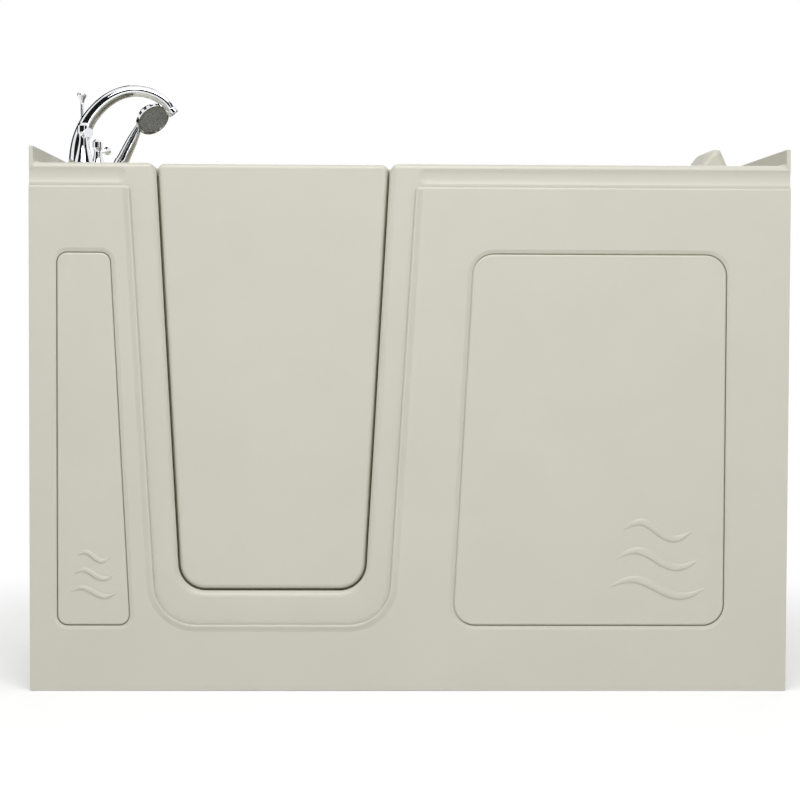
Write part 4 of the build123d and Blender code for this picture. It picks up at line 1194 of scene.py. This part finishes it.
class Studio:
    """Plain pale floor, white surround, soft lamps and dark cards for the chrome."""

    floor_half = 30.0
    sky_strength = 0.40
    floor_colour = 0.80
    floor_lift = 0.30
    floor_fade = (1.0, 2.0)
    card_shade = 0.012

    def build(self) -> None:
        """Set up floor, world, cards, lamps and camera."""
        bpy.context.scene.view_settings.view_transform = "Standard"
        ViewPoint().build()
        self._world()
        self._floor()
        dark = self._card_finish()
        for card in (
            DarkCard("front_card", 206.0, 88.0, 0.95, 4.0),
            DarkCard("upper_card", 204.0, 46.0, 4.0, 7.5),
            DarkCard("brow_card", 250.0, 50.0, 5.8, 7.5),
            DarkCard("right_card", 306.0, 42.0, 0.95, 5.0),
            DarkCard("left_card", 122.0, 40.0, 0.6, 7.0),
            DarkCard("rear_card", 66.0, 56.0, 1.5, 12.0),
        ):
            card.build(dark)
        for lamp in (
            SoftBox("key_light", (-0.2, -2.6, 3.7), (0.0, -0.3, 0.6), (3.0, 2.0), 94.0),
            SoftBox("fill_light", (0.4, -5.6, 1.5), (0.0, -0.4, 0.7), (3.0, 2.0), 28.0),
            SoftBox("back_light", (0.5, 3.6, 3.2), (0.0, 0.3, 0.8), (3.4, 2.0), 50.0),
        ):
            lamp.build()

    def _card_finish(self) -> bpy.types.Material:
        """Near black matt finish of the cards."""
        material = bpy.data.materials.new("dark_card")
        material.use_nodes = True
        tree = material.node_tree
        tree.nodes.clear()
        shade = tree.nodes.new("ShaderNodeEmission")
        shade.inputs["Color"].default_value = (self.card_shade,) * 3 + (1.0,)
        out = tree.nodes.new("ShaderNodeOutputMaterial")
        tree.links.new(shade.outputs[0], out.inputs["Surface"])
        return material

    @staticmethod
    def _seen(tree: bpy.types.NodeTree) -> bpy.types.NodeSocket:
        """Mask of the rays that show the background.

        Args:
            tree: Node tree to build in.

        Returns:
            Socket that is 1 for camera, glossy and transmission rays.
        """
        path = tree.nodes.new("ShaderNodeLightPath")
        total = path.outputs["Is Camera Ray"]
        for name in ("Is Glossy Ray", "Is Transmission Ray"):
            plus = tree.nodes.new("ShaderNodeMath")
            plus.operation = "MAXIMUM"
            tree.links.new(total, plus.inputs[0])
            tree.links.new(path.outputs[name], plus.inputs[1])
            total = plus.outputs[0]
        return total

    def _world(self) -> None:
        """White surround that lights the object at a plain level."""
        world = bpy.data.worlds.new("surround")
        bpy.context.scene.world = world
        world.use_nodes = True
        tree = world.node_tree
        tree.nodes.clear()
        lit = tree.nodes.new("ShaderNodeBackground")
        lit.inputs["Color"].default_value = (1.0, 1.0, 1.0, 1.0)
        lit.inputs["Strength"].default_value = self.sky_strength
        shown = tree.nodes.new("ShaderNodeBackground")
        shown.inputs["Color"].default_value = (1.0, 1.0, 1.0, 1.0)
        shown.inputs["Strength"].default_value = 1.0
        mix = tree.nodes.new("ShaderNodeMixShader")
        out = tree.nodes.new("ShaderNodeOutputWorld")
        tree.links.new(self._seen(tree), mix.inputs["Fac"])
        tree.links.new(lit.outputs[0], mix.inputs[1])
        tree.links.new(shown.outputs[0], mix.inputs[2])
        tree.links.new(mix.outputs[0], out.inputs["Surface"])

    def _floor(self) -> None:
        """Pale floor that keeps the shadow and fades into the white surround."""
        mesh = bmesh.new()
        bmesh.ops.create_grid(mesh, x_segments=2, y_segments=2, size=self.floor_half)
        data = bpy.data.meshes.new("studio_floor")
        mesh.to_mesh(data)
        mesh.free()
        floor = bpy.data.objects.new("studio_floor", data)
        bpy.context.scene.collection.objects.link(floor)
        material = bpy.data.materials.new("studio_floor")
        material.use_nodes = True
        tree = material.node_tree
        tree.nodes.clear()
        matt = tree.nodes.new("ShaderNodeBsdfDiffuse")
        matt.inputs["Color"].default_value = (self.floor_colour,) * 3 + (1.0,)
        lift = tree.nodes.new("ShaderNodeEmission")
        lift.inputs["Strength"].default_value = self.floor_lift
        near = tree.nodes.new("ShaderNodeAddShader")
        tree.links.new(matt.outputs[0], near.inputs[0])
        tree.links.new(lift.outputs[0], near.inputs[1])
        far = tree.nodes.new("ShaderNodeEmission")
        shown = tree.nodes.new("ShaderNodeMixShader")
        tree.links.new(self._far(tree), shown.inputs["Fac"])
        tree.links.new(near.outputs[0], shown.inputs[1])
        tree.links.new(far.outputs[0], shown.inputs[2])
        floor_mix = tree.nodes.new("ShaderNodeMixShader")
        out = tree.nodes.new("ShaderNodeOutputMaterial")
        tree.links.new(self._seen(tree), floor_mix.inputs["Fac"])
        tree.links.new(matt.outputs[0], floor_mix.inputs[1])
        tree.links.new(shown.outputs[0], floor_mix.inputs[2])
        tree.links.new(floor_mix.outputs[0], out.inputs["Surface"])
        data.materials.append(material)

    def _far(self, tree: bpy.types.NodeTree) -> bpy.types.NodeSocket:
        """Mask that rises from the tub outwards.

        Args:
            tree: Node tree to build in.

        Returns:
            Socket that is 0 near the tub and 1 far from it.
        """
        place = tree.nodes.new("ShaderNodeTexCoord")
        length = tree.nodes.new("ShaderNodeVectorMath")
        length.operation = "LENGTH"
        fade = tree.nodes.new("ShaderNodeMapRange")
        fade.interpolation_type = "SMOOTHSTEP"
        fade.inputs["From Min"].default_value, fade.inputs["From Max"].default_value = self.floor_fade
        tree.links.new(place.outputs["Object"], length.inputs[0])
        tree.links.new(length.outputs["Value"], fade.inputs["Value"])
        return fade.outputs["Result"]


def grab_screw_spots(circle: float = 0.027, count: int = 3) -> list[Point]:
    """Places of the screws in the two flanges of the grab bar.

    Args:
        circle: Radius of the circle that they stand on.
        count: Screws in each flange.

    Returns:
        One place for each screw.
    """
    low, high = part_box("grab_flanges")
    half = (high.z - low.z) / 2
    spots = []
    for middle in (low.x + half, high.x - half):
        for index in range(count):
            angle = math.pi / 2 + 2 * math.pi * index / count
            across, up = circle * math.cos(angle), circle * math.sin(angle)
            spots.append((middle + across, low.y, low.z + half + up))
    return spots


def corners(bounds: Iterable[Iterable[float]]) -> list[list[float]]:
    """Box corners as plain lists of numbers."""
    return [[float(value) for value in corner] for corner in bounds]


def main() -> None:
    """Dress the frame, add the fine pieces and set up the studio."""
    logging.basicConfig(level=logging.INFO, format="%(message)s")
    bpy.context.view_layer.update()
    paintbox = Paintbox()
    log.info("painted %d nodes", paintbox.paint_frame())
    shop = Workshop(paintbox)
    Studio().build()
    hinge_heights = [HINGE_FOOT + KNUCKLE * index + KNUCKLE / 2 for index in range(KNUCKLE_COUNT)]
    door_leaf_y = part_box("hinge_door_leaf")[1].y
    wall_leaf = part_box("hinge_wall_leaf")
    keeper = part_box("latch_keeper")
    pieces: list[Piece] = [
        PanelRipples("left_ripples", Body.LEFT_PANEL, (-0.634, 0.236), 0.094, 0.036, 0.009, 0.0058),
        PanelRipples("right_ripples", Body.RIGHT_PANEL, (0.500, 0.268), 0.196, 0.058, 0.017, 0.0092),
        HandShowerNozzles(),
        RingGrips(),
        # Painted shade: olive strip that gives the door gap line the tone of its shadow
        DoorGapShadeStrip(),
        GripDots(),
        # Painted shade: dark strips at the bottom of the panel gaps that darken the gap lines
        WindowGapShadeStrip("left_window_gap_shade", "left_panel", 0.039, False, 0.020),
        WindowGapShadeStrip("right_window_gap_shade", "right_panel", 0.039, True, 0.042),
        Screws(
            "hinge_door_screws",
            Body.DOOR,
            Slot.STAINLESS,
            [(-0.512, door_leaf_y, height) for height in hinge_heights],
            REARWARD,
        ),
        Screws(
            "hinge_wall_screws",
            Body.TUB,
            Slot.STAINLESS,
            [(wall_leaf[0].x + 0.006, wall_leaf[0].y + 0.003, height) for height in hinge_heights],
            REARWARD,
            radius=0.0034,
        ),
        Screws(
            "keeper_screws",
            Body.TUB,
            Slot.STAINLESS,
            [(keeper[1].x - 0.010, keeper[0].y + 0.003, height) for height in (0.864, 0.896)],
            REARWARD,
        ),
        Screws(
            "grab_flange_screws",
            Body.TUB,
            Slot.STAINLESS,
            grab_screw_spots(),
            FORWARD,
            radius=0.0038,
        ),
        FootThreads(),
    ]
    for item in pieces:
        item.build(shop)


if __name__ == "__main__":
    main()
